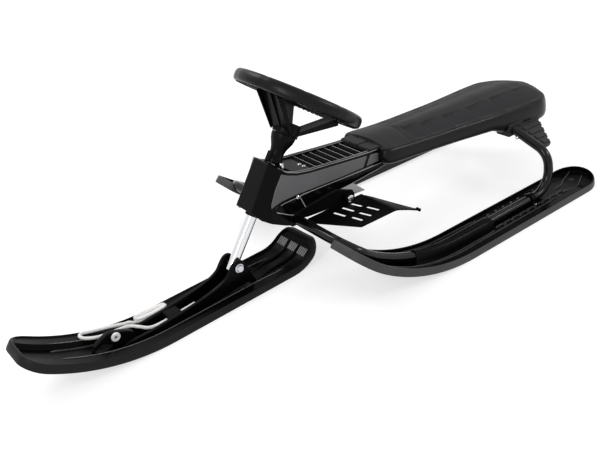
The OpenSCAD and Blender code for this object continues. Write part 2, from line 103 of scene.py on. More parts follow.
def camera_mix(tree, lit, shown):
    """Mixes two shaders: lit for light that reaches surfaces, shown for camera, glossy and clear rays."""
    path = tree.nodes.new("ShaderNodeLightPath")
    total = path.outputs["Is Camera Ray"]
    for other in ("Is Glossy Ray", "Is Transmission Ray"):
        both = tree.nodes.new("ShaderNodeMath")
        both.operation = "MAXIMUM"
        tree.links.new(total, both.inputs[0])
        tree.links.new(path.outputs[other], both.inputs[1])
        total = both.outputs[0]
    mix = tree.nodes.new("ShaderNodeMixShader")
    tree.links.new(total, mix.inputs[0])
    tree.links.new(lit, mix.inputs[1])
    tree.links.new(shown, mix.inputs[2])
    return mix.outputs[0]


def make_world():
    world = bpy.data.worlds.new("studio")
    scene.world = world
    world.use_nodes = True
    tree = world.node_tree
    tree.nodes.clear()
    lit, shown = (tree.nodes.new("ShaderNodeBackground") for _ in range(2))
    lit.inputs["Color"].default_value = (1, 1, 1, 1)
    lit.inputs["Strength"].default_value = 0.68
    shown.inputs["Color"].default_value = (1, 1, 1, 1)
    shown.inputs["Strength"].default_value = 1
    out = tree.nodes.new("ShaderNodeOutputWorld")
    tree.links.new(camera_mix(tree, lit.outputs[0], shown.outputs[0]), out.inputs["Surface"])


def area_light(name, place, aim, size, power):
    data = bpy.data.lights.new(name, "AREA")
    data.shape = "RECTANGLE"
    data.size, data.size_y = size
    data.energy = power
    lamp = bpy.data.objects.new(name, data)
    lamp.location = place
    lamp.rotation_mode = "QUATERNION"
    lamp.rotation_quaternion = (Vector(aim) - Vector(place)).to_track_quat("-Z", "Y")
    scene.collection.objects.link(lamp)


def make_floor():
    half = 12
    mesh = bpy.data.meshes.new("floor")
    mesh.from_pydata([(-half, -half, 0), (half, -half, 0), (half, half, 0), (-half, half, 0)], [],
                     [(0, 1, 2, 3)])
    floor = bpy.data.objects.new("floor", mesh)
    scene.collection.objects.link(floor)
    mat = bpy.data.materials.new("floor_white")
    mat.use_nodes = True
    tree = mat.node_tree
    tree.nodes.clear()
    diffuse = tree.nodes.new("ShaderNodeBsdfDiffuse")
    diffuse.inputs["Color"].default_value = (0.50, 0.50, 0.505, 1)
    glow = tree.nodes.new("ShaderNodeEmission")
    glow.inputs["Strength"].default_value = 0.62
    both = tree.nodes.new("ShaderNodeAddShader")
    tree.links.new(diffuse.outputs[0], both.inputs[0])
    tree.links.new(glow.outputs[0], both.inputs[1])
    out = tree.nodes.new("ShaderNodeOutputMaterial")
    tree.links.new(camera_mix(tree, diffuse.outputs[0], both.outputs[0]), out.inputs["Surface"])
    mesh.materials.append(mat)


# Materials
class Nodes:
    """A material's node tree, with object coordinates in metres ready."""

    def __init__(self, name):
        self.mat = bpy.data.materials.new(name)
        self.mat.use_nodes = True
        self.tree = self.mat.node_tree
        self.shader = self.tree.nodes["Principled BSDF"]
        self.coords = self.tree.nodes.new("ShaderNodeTexCoord").outputs["Object"]

    def add(self, kind, **values):
        node = self.tree.nodes.new(kind)
        for key, value in values.items():
            setattr(node, key, value)
        return node

    def link(self, a, b):
        self.tree.links.new(a, b)

    def maths(self, operation, a, b):
        node = self.add("ShaderNodeMath", operation=operation)
        self.link(a, node.inputs[0])
        self.link(b, node.inputs[1])
        return node.outputs[0]

    def vector(self, operation, a, b=None):
        """A vector operation on a socket and, where it needs one, a fixed vector."""
        node = self.add("ShaderNodeVectorMath", operation=operation)
        self.link(a, node.inputs[0])
        if b:
            node.inputs[1].default_value = b
        return node.outputs["Value" if operation == "LENGTH" else "Vector"]

    def noise(self, scale, detail=3, stretch=None):
        node = self.add("ShaderNodeTexNoise")
        node.inputs["Scale"].default_value = scale
        node.inputs["Detail"].default_value = detail
        vector = self.coords
        if stretch:
            mapping = self.add("ShaderNodeMapping")
            mapping.inputs["Scale"].default_value = stretch
            self.link(vector, mapping.inputs["Vector"])
            vector = mapping.outputs[0]
        self.link(vector, node.inputs["Vector"])
        return node.outputs["Fac"]

    def ranged(self, value, low, high, start=0.3, end=0.7):
        node = self.add("ShaderNodeMapRange")
        self.link(value, node.inputs["Value"])
        for key, number in (("From Min", start), ("From Max", end), ("To Min", low), ("To Max", high)):
            node.inputs[key].default_value = number
        return node.outputs[0]

    def colours(self, value, dark, light):
        node = self.add("ShaderNodeMix", data_type="RGBA")
        self.link(value, node.inputs["Factor"])
        node.inputs["A"].default_value = (*dark, 1)
        node.inputs["B"].default_value = (*light, 1)
        self.link(node.outputs["Result"], self.shader.inputs["Base Color"])

    def bump(self, height, depth, strength=1.0):
        node = self.add("ShaderNodeBump")
        node.inputs["Strength"].default_value = strength
        node.inputs["Distance"].default_value = depth
        self.link(height, node.inputs["Height"])
        if self.shader.inputs["Normal"].is_linked:
            self.link(self.shader.inputs["Normal"].links[0].from_socket, node.inputs["Normal"])
        self.link(node.outputs[0], self.shader.inputs["Normal"])


def plastic(name, colour, rough, specular=0.5, grain=1400, depth=0.00008, spread=0.25, coat=0.0):
    """Moulded plastic: a fine grain, patches that are a little duller, and slight flow marks."""
    n = Nodes(name)
    patches = n.noise(9, 4)
    n.colours(n.ranged(patches, 0, 1), [c * (1 - spread) for c in colour], [c * (1 + spread) for c in colour])
    n.link(n.ranged(patches, rough * 0.85, rough * 1.2), n.shader.inputs["Roughness"])
    n.shader.inputs["Specular IOR Level"].default_value = specular
    n.shader.inputs["Coat Weight"].default_value = coat
    n.shader.inputs["Coat Roughness"].default_value = 0.06
    n.bump(n.noise(35, 2), 0.0004, 0.12)
    n.bump(n.noise(grain, 2), depth, 0.6)
    return n.mat


def metal(name, colour, rough, stretch):
    """Drawn or plated metal with fine lines along the piece."""
    n = Nodes(name)
    lines = n.noise(900, 3, stretch)
    n.colours(n.ranged(lines, 0, 1), [c * 0.86 for c in colour], colour)
    n.link(n.ranged(n.noise(60, 3), rough * 0.8, rough * 1.3), n.shader.inputs["Roughness"])
    n.shader.inputs["Metallic"].default_value = 1
    n.bump(lines, 0.00003, 0.4)
    return n.mat


def seat_hex(name, colour, cell):
    """Soft pad with a fine honeycomb of low hexagons."""
    n = Nodes(name)
    across = (1 / cell, 1 / (cell * math.sqrt(3)), 0)
    scaled = n.vector("MULTIPLY", n.coords, across)
    near = []
    for shift in (0.0, 0.5):
        moved = n.vector("ADD", scaled, (shift, shift, 0))
        middle = n.vector("SUBTRACT", n.vector("FRACTION", moved), (0.5, 0.5, 0))
        near.append(n.vector("LENGTH", n.vector("MULTIPLY", middle, (1, math.sqrt(3), 0))))
    cells = n.ranged(n.maths("MINIMUM", *near), 1, 0, 0.34, 0.56)
    n.colours(cells, [c * 0.45 for c in colour], colour)
    n.link(n.ranged(cells, 0.75, 0.48, 0, 1), n.shader.inputs["Roughness"])
    n.shader.inputs["Specular IOR Level"].default_value = 0.10
    n.bump(cells, 0.0005, 0.8)
    n.bump(n.noise(1500, 2), 0.00006, 0.5)
    return n.mat


def cord_weave(name, colour):
    """Braided cord: diagonal strands that cross each other."""
    n = Nodes(name)
    uv = n.tree.nodes.new("ShaderNodeTexCoord").outputs["UV"]
    waves = []
    for turn in (1, -1):
        mapping = n.add("ShaderNodeMapping")
        mapping.inputs["Rotation"].default_value = (0, 0, turn * math.radians(45))
        mapping.inputs["Scale"].default_value = (260, 4, 1)
        n.link(uv, mapping.inputs["Vector"])
        wave = n.add("ShaderNodeTexWave")
        wave.inputs["Scale"].default_value = 0.9
        wave.inputs["Distortion"].default_value = 0.4
        n.link(mapping.outputs[0], wave.inputs["Vector"])
        waves.append(wave.outputs["Fac"])
    strands = n.maths("MAXIMUM", *waves)
    n.colours(n.ranged(strands, 0, 1, 0.1, 0.8), [c * 0.84 for c in colour], colour)
    n.shader.inputs["Roughness"].default_value = 0.85
    n.shader.inputs["Sheen Weight"].default_value = 0.3
    n.bump(strands, 0.0006, 0.8)
    n.bump(n.noise(2200, 3), 0.0002, 0.7)
    return n.mat


def make_materials():
    return {
        "ski": plastic("ski_plastic", (0.0014, 0.0014, 0.0016), 0.26, 0.05, grain=700),
        "flange": plastic("ski_flange", (0.014, 0.014, 0.015), 0.45, 0.08, grain=900),
        # A lighter copy of the flange colour for the rear skis: painted light from the near side
        "flange_painted_lit": plastic("ski_flange_painted_lit", (0.055, 0.055, 0.057), 0.42, 0.12, grain=900, spread=0.2),
        # Ridge colour: a painted highlight, light enough to show as bright lines along the ribs
        "ridge": plastic("ridge_painted_highlight", (0.050, 0.050, 0.052), 0.3, 0.4, spread=0.3),
        "gloss": plastic("gloss_black", (0.0014, 0.0014, 0.0017), 0.13, 0.08, depth=0.00002),
        "satin": plastic("satin_black", (0.0028, 0.0028, 0.0031), 0.32, 0.07),
        "matt": plastic("matt_black", (0.0035, 0.0035, 0.0038), 0.48, 0.06),
        "louvre": plastic("louvre_black", (0.0016, 0.0016, 0.0018), 0.45, 0.01),
        "grey": plastic("satin_grey", (0.118, 0.118, 0.122), 0.42, 0.25, spread=0.10),
        "bracket": plastic("bracket_grey", (0.020, 0.0205, 0.022), 0.5, 0.2),
        "rim": plastic("rim_grip", (0.0028, 0.0029, 0.0032), 0.30, 0.17, grain=900, depth=0.0001),
        "shell": plastic("seat_shell", (0.0036, 0.0037, 0.0040), 0.30, 0.17),
        "pad": plastic("seat_pad", (0.016, 0.016, 0.0175), 0.50, 0.12, grain=1100, depth=0.00012),
        "hex": seat_hex("seat_hex", (0.022, 0.022, 0.024), 0.0034),
        "tube": plastic("tube_coat", (0.0014, 0.0014, 0.0017), 0.16, 0.22, depth=0.00002, coat=0.05),
        "brake": plastic("brake_coat", (0.0020, 0.0020, 0.0024), 0.34, 0.03),
        "zinc": metal("stem_zinc", (0.80, 0.81, 0.83), 0.16, (1, 1, 0.05)),
        "steel": metal("bolt_zinc", (0.66, 0.67, 0.70), 0.22, (1, 1, 1)),
        # Light grey for the inclined stays: a painted reflection
        "stay": plastic("stay_painted_reflection", (0.36, 0.36, 0.37), 0.42, 0.3, spread=0.1),
        # Light grey for thin strips, bars and ribs along edges: a painted highlight
        "highlight_paint": plastic("edge_painted_highlight", (0.34, 0.34, 0.35), 0.2, 0.5, spread=0.15),
        "white": plastic("white_plastic", (0.78, 0.78, 0.76), 0.35, 0.5, spread=0.04),
        "rope": cord_weave("rope_weave", (0.90, 0.895, 0.88)),
    }


# Mesh helpers
def piece(name, verts, faces, body, slot, mats, replaces=(), bevel=0.0, smooth=35, index=None, turned=False):
    """A mesh object from points in millimetres. A turned piece turns with the front ski's rest angle."""
    if turned:
        spin = Matrix.Rotation(YAW, 3, "Z")
        verts = [BOLT + spin @ (Vector(v) - BOLT) for v in verts]
    mesh = bpy.data.meshes.new(name)
    mesh.from_pydata([tuple(c * MM for c in v) for v in verts], [], faces)
    mesh.update()
    obj = bpy.data.objects.new(name, mesh)
    scene.collection.objects.link(obj)
    for mat in mats if isinstance(mats, (list, tuple)) else [mats]:
        mesh.materials.append(mat)
    if index:
        mesh.polygons.foreach_set("material_index", index)
    mesh.shade_smooth()
    mesh.set_sharp_from_angle(angle=math.radians(smooth))
    if bevel:
        mod = obj.modifiers.new("edges", "BEVEL")
        mod.width = bevel * MM
        mod.segments = 3
        mod.limit_method = "ANGLE"
        mod.angle_limit = math.radians(min(32, smooth))
        mod.harden_normals = False
    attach(obj, body)
    if replaces:
        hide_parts(*replaces)
    return obj


class Shape:
    """Collects points and faces, with a material number for each face."""

    def __init__(self):
        self.verts, self.faces, self.index = [], [], []

    def face(self, ids, mat=0):
        self.faces.append(tuple(ids))
        self.index.append(mat)

    def ring(self, points):
        start = len(self.verts)
        self.verts += [tuple(p) for p in points]
        return list(range(start, len(self.verts)))

    def bridge(self, a, b, mat=0):
        n = len(a)
        for k in range(n):
            j = (k + 1) % n
            self.face((a[k], a[j], b[j], b[k]), mat)

    def loft(self, rings, mat=0):
        ids = [self.ring(r) for r in rings]
        for a, b in zip(ids, ids[1:]):
            self.bridge(a, b, mat)
        self.face(ids[0][::-1], mat)
        self.face(ids[-1], mat)

    def prism(self, outline, low, high, place):
        """Extrudes an outline between two levels; place turns (a, b, level) into a point."""
        self.loft([[place(a, b, t) for a, b in outline] for t in (low, high)])

    def box(self, low, high, place=lambda x, y, z: (x, y, z)):
        (x0, y0, z0), (x1, y1, z1) = low, high
        self.prism([(x0, y0), (x1, y0), (x1, y1), (x0, y1)], z0, z1, place)

    def add(self, other):
        start = len(self.verts)
        self.verts += other.verts
        for f, mat in zip(other.faces, other.index):
            self.face([i + start for i in f], mat)

    def mirrored(self):
        out = Shape()
        out.verts = [(x, -y, z) for x, y, z in self.verts]
        out.faces = [f[::-1] for f in self.faces]
        out.index = list(self.index)
        return out

    def make(self, name, body, slot, mats, **facts):
        return piece(name, self.verts, self.faces, body, slot, mats, index=self.index, **facts)


def corner(a, b, c, radius, count):
    """Points of the arc that rounds the corner at b."""
    a, b, c = Vector(a), Vector(b), Vector(c)
    u, v = (a - b).normalized(), (c - b).normalized()
    half = math.acos(max(-1, min(1, u.dot(v)))) / 2
    middle = b + (u + v).normalized() * radius / math.sin(half)
    start = b + u * radius / math.tan(half) - middle
    end = b + v * radius / math.tan(half) - middle
    sweep = math.pi - 2 * half
    return [middle + (start * math.sin((1 - k / count) * sweep) + end * math.sin(k / count * sweep))
            / math.sin(sweep) for k in range(count + 1)]


def smooth_route(points, step):
    """Catmull-Rom curve through points, in steps of about that length."""
    p = [Vector(q) for q in points]
    p = [2 * p[0] - p[1]] + p + [2 * p[-1] - p[-2]]
    out = []
    for a, b, c, d in zip(p, p[1:], p[2:], p[3:]):
        n = max(2, round((c - b).length / step))
        for k in range(n):
            t = k / n
            out.append(0.5 * (2 * b + (c - a) * t + (2 * a - 5 * b + 4 * c - d) * t * t
                              + (3 * b - a - 3 * c + d) * t ** 3))
    return out + [p[-2]]


def sweep_rings(route, section):
    """Rings of a section, given as (across, up) pairs, carried along a route without twist."""
    n = len(route)
    rings, side = [], None
    for k, p in enumerate(route):
        t = (route[min(k + 1, n - 1)] - route[max(k - 1, 0)]).normalized()
        if side is None:
            side = t.cross(Vector((0, 0, 1)) if abs(t.z) < 0.9 else Vector((1, 0, 0)))
        side = (side - side.dot(t) * t).normalized()
        up = side.cross(t)
        rings.append([p + side * a + up * b for a, b in section])
    return rings


def circle(radius, count):
    return [(radius * math.cos(2 * math.pi * k / count), radius * math.sin(2 * math.pi * k / count))
            for k in range(count)]


def tube(shape, route, radius, count):
    shape.loft(sweep_rings(route, circle(radius, count)))


def lathe(shape, profile, place, count):
    """Turns (radius, height) pairs round an axis; place turns (x, y, height) into a point."""
    shape.loft([[place(x, y, h) for x, y in circle(r, count)] for r, h in profile])


def on_stem(x, y, s):
    """A point at (x, y) across and s along the steering axis from the bolt; x points forward and up."""
    return BOLT + Vector((math.cos(RAKE), 0, math.sin(RAKE))) * x + Vector((0, y, 0)) + STEM_DIR * s


def steered(x, y, s):
    """As on_stem, turned with the wheel's rest angle."""
    c, d = math.cos(TURN), math.sin(TURN)
    return on_stem(x * c - y * d, x * d + y * c, s)


def rounded(x0, x1, y0, y1, radii, inset, count=8, step=9):
    """A closed outline of a rectangle with rounded corners, with equally many points at every inset."""
    corners = []
    ends = ((x1, y0, 1, -1), (x1, y1, 1, 1), (x0, y1, -1, 1), (x0, y0, -1, -1))
    for r, k, (cx, cy, sx, sy) in zip(radii, range(4), ends):
        small = max(r - inset, 0.02)
        mx, my = cx - sx * max(r, inset), cy - sy * max(r, inset)
        corners.append([(mx + small * math.cos(a), my + small * math.sin(a))
                        for a in (math.radians(90 * (k - 1 + j / count)) for j in range(count + 1))])
    spans = [y1 - y0 - radii[0] - radii[1], x1 - x0 - radii[1] - radii[2],
             y1 - y0 - radii[2] - radii[3], x1 - x0 - radii[3] - radii[0]]
    out = []
    for k in range(4):
        out += corners[k]
        a, b = corners[k][-1], corners[(k + 1) % 4][0]
        n = max(1, round(spans[k] / step))
        out += [(a[0] + (b[0] - a[0]) * j / n, a[1] + (b[1] - a[1]) * j / n) for j in range(1, n)]
    return out


def inside(loop, x, y):
    """Whether a point lies in a flat outline."""
    hit = False
    for (ax, ay), (bx, by) in zip(loop, loop[1:] + loop[:1]):
        if (ay > y) != (by > y) and x < (bx - ax) * (y - ay) / (by - ay) + ax:
            hit = not hit
    return hit


def fill(shape, loop_ids, loop, inner, point, up=True):
    """Fills a flat outline with triangles through inner points; point turns (x, y) into a point."""
    def clear(x, y):
        return min((x - a) ** 2 + (y - b) ** 2 for a, b in loop) > 5

    kept = [q for q in inner if inside(loop, *q) and clear(*q)]
    flat = [Vector(q) for q in loop + kept]
    n = len(loop)
    edges = [(k, (k + 1) % n) for k in range(n)]
    verts, _, faces, source, _, _ = delaunay_2d_cdt(flat, edges, [], 1, 1e-5)
    ids = []
    for v, origin in zip(verts, source):
        first = [i for i in origin if i < n]
        if first:
            ids.append(loop_ids[first[0]])
        else:
            ids += shape.ring([point(v.x, v.y)])
    for f in faces:
        a, b, c = (verts[i] for i in f)
        turn = (b - a).cross(c - a)
        order = f if (turn > 0) == up else f[::-1]
        shape.face([ids[i] for i in order])


def ramp(value, low, high):
    t = max(0.0, min(1.0, (value - low) / (high - low)))
    return t * t * (3 - 2 * t)


# Skis
class Ski:
    """A ski whose sole is flat between two arcs. Heights are measured square to the sole."""

    def __init__(self, tail, nose, tail_x, tail_r, nose_x, nose_r, y0, y1, radii, rim):
        self.tail, self.nose, self.y0, self.y1, self.radii, self.rim = tail, nose, y0, y1, radii, rim
        self.tail_x, self.tail_r, self.nose_x, self.nose_r = tail_x, tail_r, nose_x, nose_r

    def at(self, x, y, h):
        if x > self.nose_x:
            a = math.asin((x - self.nose_x) / self.nose_r)
            r = self.nose_r - h
            return self.nose_x + r * math.sin(a), y, self.nose_r - r * math.cos(a)
        if x < self.tail_x:
            a = math.asin((self.tail_x - x) / self.tail_r)
            r = self.tail_r - h
            return self.tail_x - r * math.sin(a), y, self.tail_r - r * math.cos(a)
        return x, y, h

    def outline(self, inset):
        return rounded(self.tail, self.nose, self.y0, self.y1, self.radii, inset)

    def shell(self, relief, rows, step=8):
        """relief(x, y) is the deck's height; rows are the y values of the deck's points."""
        s = Shape()
        profile = [(5, 0.0, 0), (1.6, 0.0, EDGE), (0.4, 0.6, EDGE), (0.0, 1.8, EDGE),
                   (0.0, self.rim - 1.6, EDGE), (0.4, self.rim - 0.5, EDGE), (1.4, self.rim, 0),
                   (2.6, self.rim, 0), (3.5, self.rim - 0.5, 0)]
        rings, last = [], None
        for d, h, mat in profile:
            ids = s.ring([self.at(x, y, h) for x, y in self.outline(d)])
            if last:
                s.bridge(last[0], ids, last[1])
            rings.append(ids)
            last = (ids, mat)
        for d, blend in ((4.4, 0.55), (5.4, 0.92), (7.0, 1.0)):
            out = self.outline(d)
            ids = s.ring([self.at(x, y, relief(x, y) * blend + (self.rim - 0.5) * (1 - blend))
                          for x, y in out])
            s.bridge(last[0], ids, 0)
            last = (ids, 0)
        xs = [self.tail + step * (k + 0.5) for k in range(int((self.nose - self.tail) / step))]
        fill(s, last[0], self.outline(7.0), [(x, y) for x in xs for y in rows],
             lambda x, y: self.at(x, y, relief(x, y)))
        fill(s, rings[0], self.outline(5), [(x, y) for x in xs[::2] for y in rows[::2]],
             lambda x, y: self.at(x, y, 0), up=False)
        return s

    def rib(self, shape, points, width, height, relief, sharp=False, mat=RIDGE):
        """A low ridge along a line on the deck, by default in the ridge colour, a painted highlight."""
        route = [Vector((*p, 0)) for p in points] if sharp else smooth_route([(*p, 0) for p in points], 7)
        n = len(route)
        rings = []
        for k, p in enumerate(route):
            t = (route[min(k + 1, n - 1)] - route[max(k - 1, 0)]).normalized()
            side = Vector((-t.y, t.x, 0))
            tall = height * (0.25 if k in (0, n - 1) and not sharp else 1)
            ring = []
            for a, h in ((-0.5, -1.2), (-0.5, 0.5 * tall), (-0.22, tall), (0.22, tall), (0.5, 0.5 * tall),
                         (0.5, -1.2)):
                q = p + side * a * width
                ring.append(self.at(q.x, q.y, relief(q.x, q.y) + h))
            rings.append(ring)
        shape.loft(rings, mat)


def rear_relief(x, y):
    """The rear ski's deck: a channel for the tube between a wide outer and a narrow inner shoulder."""
    rel = y - TUBE_Y
    outer = ramp(rel, 26, 31)
    inner = ramp(-rel, 22, 26)
    fade = ramp(x, -540, -500) * (1 - ramp(x, 40, 90))
    return 4.2 + fade * (4.5 * outer + 4.0 * inner)


def make_rear_skis(m):
    ski = Ski(tail=-573, nose=110, tail_x=-513, tail_r=156, nose_x=REAR_NOSE_X, nose_r=REAR_NOSE_R,
              y0=152, y1=244, radii=(14, 42, 45, 45), rim=16)
    rows = [160, 162.5, 165, 167, 169, 176, 183, 190, 197, 204, 211, 215, 217.5, 220, 226, 232]
    s = ski.shell(rear_relief, rows)
    # Saw-toothed ribs on both sides of the tube
    for y, sense in ((167, 1), (207, -1)):
        line = []
        for k in range(9):
            x = -270 - 24 * k
            line += [(x, y + 2.5 * sense), (x - 19, y + 2.5 * sense), (x - 20, y - 2.5 * sense),
                     (x - 24, y - 2.5 * sense)]
        ski.rib(s, line, 2.0, 3.2, rear_relief, sharp=True)
    ski.rib(s, [(60, 160), (-20, 160), (-130, 159), (-240, 161), (-262, 167)], 1.8, 2.4, rear_relief)
    ski.rib(s, [(60, 222), (-40, 222), (-200, 221), (-330, 220), (-440, 219), (-466, 212)], 1.8, 2.4,
            rear_relief)
    ski.rib(s, [(60, 214), (-60, 212), (-160, 211), (-240, 211), (-262, 208)], 1.8, 2.2, rear_relief)
    # Ridges on the tail
    ski.rib(s, [(-478, 209), (-512, 216), (-534, 211), (-562, 200)], 1.8, 2.4, rear_relief)
    ski.rib(s, [(-478, 190), (-505, 188), (-520, 180), (-562, 170)], 1.8, 2.4, rear_relief)
    for x in (-538, -532):
        ski.rib(s, [(x, 186), (x, 196)], 2.0, 1.6, rear_relief, sharp=True)
    # The rear skis' flanges take the lighter flange colour: painted light
    for side, shape in (("left", s), ("right", s.mirrored())):
        shape.make("ski_shell_" + side, "chassis", "ski_plastic", [m["ski"], m["flange_painted_lit"], m["ridge"]],
                   replaces=["ski_" + side], smooth=28)
    return ski


def front_relief(x, y):
    """The front ski's deck: raised shoulders beside a channel that narrows to grooves on the tail."""
    shoulder = ramp(abs(y), 21, 25)
    tail = 1 - ramp(x, 120, 190)
    base = 5 + 8.5 * shoulder * (1 - tail) + 5.5 * tail
    groove = math.exp(-((abs(y) - 14) / 2.2) ** 2)
    return base - 2.6 * groove * tail * ramp(x, 50, 70)


def make_front_ski(m):
    ski = Ski(tail=42, nose=617, tail_x=114, tail_r=80, nose_x=FRONT_NOSE_X, nose_r=FRONT_NOSE_R,
              y0=-51, y1=51, radii=(32, 32, 24, 24), rim=16)
    rows = [-42, -36, -30, -26.5, -25, -23, -21, -18, -16, -14, -12, -10, -5, 0, 5, 10, 12, 14, 16, 18, 21,
            23, 25, 26.5, 30, 36, 42]
    s = ski.shell(front_relief, rows)
    for sign in (-1, 1):
        ski.rib(s, [(440, sign * 16), (500, sign * 17), (560, sign * 15)], 2.0, 2.2, front_relief)
        ski.rib(s, [(120, sign * 27), (200, sign * 27.5), (330, sign * 27.5), (460, sign * 27),
                    (560, sign * 26)], 1.6, 1.2, front_relief)
    # Short ribs along the tail in three groups, in the light edge colour: a painted highlight
    for middle in (-33, -3, 26):
        for k in range(-2, 3):
            ski.rib(s, [(58, middle + 4.6 * k), (73, middle + 4.6 * k)], 2.0, 1.6, front_relief, sharp=True,
                    mat=BRIGHT)
    s.make("front_ski_shell", "ski_swivel", "ski_plastic", [m["ski"], m["flange"], m["ridge"], m["highlight_paint"]],
           replaces=["front_ski"], smooth=28, turned=True)


def over_sole(x, z):
    """Height of a point z over the front ski's sole, which curves up past the nose's start."""
    if x <= FRONT_NOSE_X:
        return z
    rise = FRONT_NOSE_R - math.sqrt(FRONT_NOSE_R ** 2 - (x - FRONT_NOSE_X) ** 2)
    return z + rise


def make_fork(m):
    """Two walls with round ears; their tops run down and forward as ridges along the channel."""
    top = smooth_route([(176, 4, 0), (184, 22, 0), (193, 46, 0), (199, 61, 0), (208, 69, 0), (219, 68, 0),
                        (229, 59, 0), (240, 46, 0), (258, 38, 0), (290, 31, 0), (330, 26, 0), (390, 21, 0),
                        (440, 16, 0), (458, 9, 0)], 5)
    s = Shape()
    for sign in (-1, 1):
        outline = [(p.x, max(p.y, 4.5)) for p in top]
        outline = outline + [(452, 3.5), (180, 3.5)]
        s.prism(outline, sign * 13, sign * 20, lambda a, b, t: (a, t, over_sole(a, b)))
    s.make("fork_walls", "ski_swivel", "ski_plastic", m["ski"], replaces=["ski_fork"], bevel=1.3, turned=True)
    # Foot of each wall, spread over the deck
    f = Shape()
    for sign in (-1, 1):
        rings = []
        for x, w, h in ((172, 1, 1), (186, 6, 9), (200, 9, 15), (224, 9, 15), (246, 7, 11), (290, 4, 7),
                        (340, 2, 4)):
            y = sign * 20
            rings.append([(x, y - sign * 3, 4), (x, y - sign * 3, 4.5 + h), (x, y, 4.5 + h * 0.8),
                          (x, y + sign * w * 0.5, 4.5 + h * 0.3), (x, y + sign * w, 4)])
        f.loft(rings)
    f.make("fork_feet", "ski_swivel", "ski_plastic", m["ski"], turned=True)
    bolt = Shape()
    for sign in (-1, 1):
        def across(x, y, h, sign=sign):
            return BOLT.x + x, sign * (20 + h), BOLT.z + y
        lathe(bolt, [(9, 0), (9, 1.2), (8.6, 1.5), (5, 1.5)], across, 32)
        hexagon = [(7 * math.cos(math.radians(60 * k + 20)), 7 * math.sin(math.radians(60 * k + 20)))
                   for k in range(6)]
        bolt.loft([[across(x * r, y * r, h) for x, y in hexagon] for r, h in ((1, 1.4), (1, 5.2), (0.86, 6))])
    tube(bolt, [Vector((BOLT.x, y, BOLT.z)) for y in (-21, 0, 21)], 4, 24)
    bolt.make("fork_bolt_set", "ski_swivel", "steel", m["steel"], replaces=["fork_bolt"], bevel=0.4,
              turned=True)


# Frame
def tube_route():
    """The left half of the bent tube from the cross run to the arch, and the cross run's height."""
    nose_low = REAR_NOSE_R - TUBE_LOW

    def on_nose(a):
        return Vector((REAR_NOSE_X + nose_low * math.sin(a), TUBE_Y, REAR_NOSE_R - nose_low * math.cos(a)))

    cross_z = on_nose(math.asin((CROSS_X - REAR_NOSE_X) / nose_low)).z + 1
    turn = math.asin((CROSS_X - BEND_R - REAR_NOSE_X) / nose_low)
    knee = (ARCH_X, KNEE_Y, KNEE_Z)
    top = (ARCH_X, ARCH_TOP_Y, ARCH_Z)
    foot = (ARCH_X, TUBE_Y, TUBE_LOW)
    route = [Vector((CROSS_X, y, cross_z)) for y in (0, 70)]
    route += corner((CROSS_X, 0, cross_z), (CROSS_X, TUBE_Y, cross_z), on_nose(turn), BEND_R, 14)
    route += [on_nose(turn * (1 - k / 24)) for k in range(1, 25)]
    route += corner((REAR_NOSE_X, TUBE_Y, TUBE_LOW), foot, knee, BEND_R, 14)
    route += corner(foot, knee, top, ARCH_BEND_R, 12)
    route += corner(knee, top, (ARCH_X, 0, ARCH_Z), ARCH_BEND_R, 10)
    return route + [Vector((ARCH_X, 0, ARCH_Z))], cross_z


def make_frame(m):
    route, cross_z = tube_route()
    s = Shape()
    half = Shape()
    tube(half, route, TUBE_R, 28)
    s.add(half)
    s.add(half.mirrored())
    s.make("frame_tube", "chassis", "painted_tube", m["tube"],
           replaces=["frame_tube_left", "frame_tube_right"])
    return cross_z


def make_clamps(m, ski):
    """A tapering cover over each tube's front part, and a saddle with two screws near its rear end."""
    for sign, name in SIDES:
        s = Shape()
        rings = []
        for k in range(23):
            x = COVER_REAR + (COVER_FRONT - COVER_REAR) * k / 22
            wide = 15.5 - 3.4 * k / 22
            high = 25.2 if k else 23.9
            side = [(wide + 3, 3.6), (wide, 9), (wide - 1.6, 16), (wide * 0.62, 22.2), (wide * 0.25, high)]
            rings.append([ski.at(x, y, h) for y, h in side + [(-y, h) for y, h in side[::-1]]])
        s.loft([[(x, sign * (TUBE_Y + y), z) for x, y, z in ring] for ring in rings])
        outline = [(-17, 4.2), (-17, 6.6), (-12.6, 7.2)]
        outline += [(12.6 * math.cos(a), TUBE_LOW + 12.6 * math.sin(a))
                    for a in (math.radians(190 - 10 * k) for k in range(21))]
        outline += [(12.6, 7.2), (17, 6.6), (17, 4.2)]
        s.prism(outline, SADDLE_X - 6, SADDLE_X + 6, lambda a, b, t: (t, sign * (TUBE_Y + a), b))
        s.make("tube_cover_" + name, "chassis", "gloss_black", m["ski"], replaces=["clamps_" + name],
               bevel=0.6, smooth=50)
        c = Shape()
        for a in (-14.6, 14.6):
            lathe(c, [(2.4, 6.4), (2.4, 7.4), (1.6, 8.0)],
                  lambda u, v, h: (SADDLE_X + u, sign * (TUBE_Y + a) + v, h), 20)
        c.make("clamp_screws_" + name, "chassis", "steel", m["steel"])


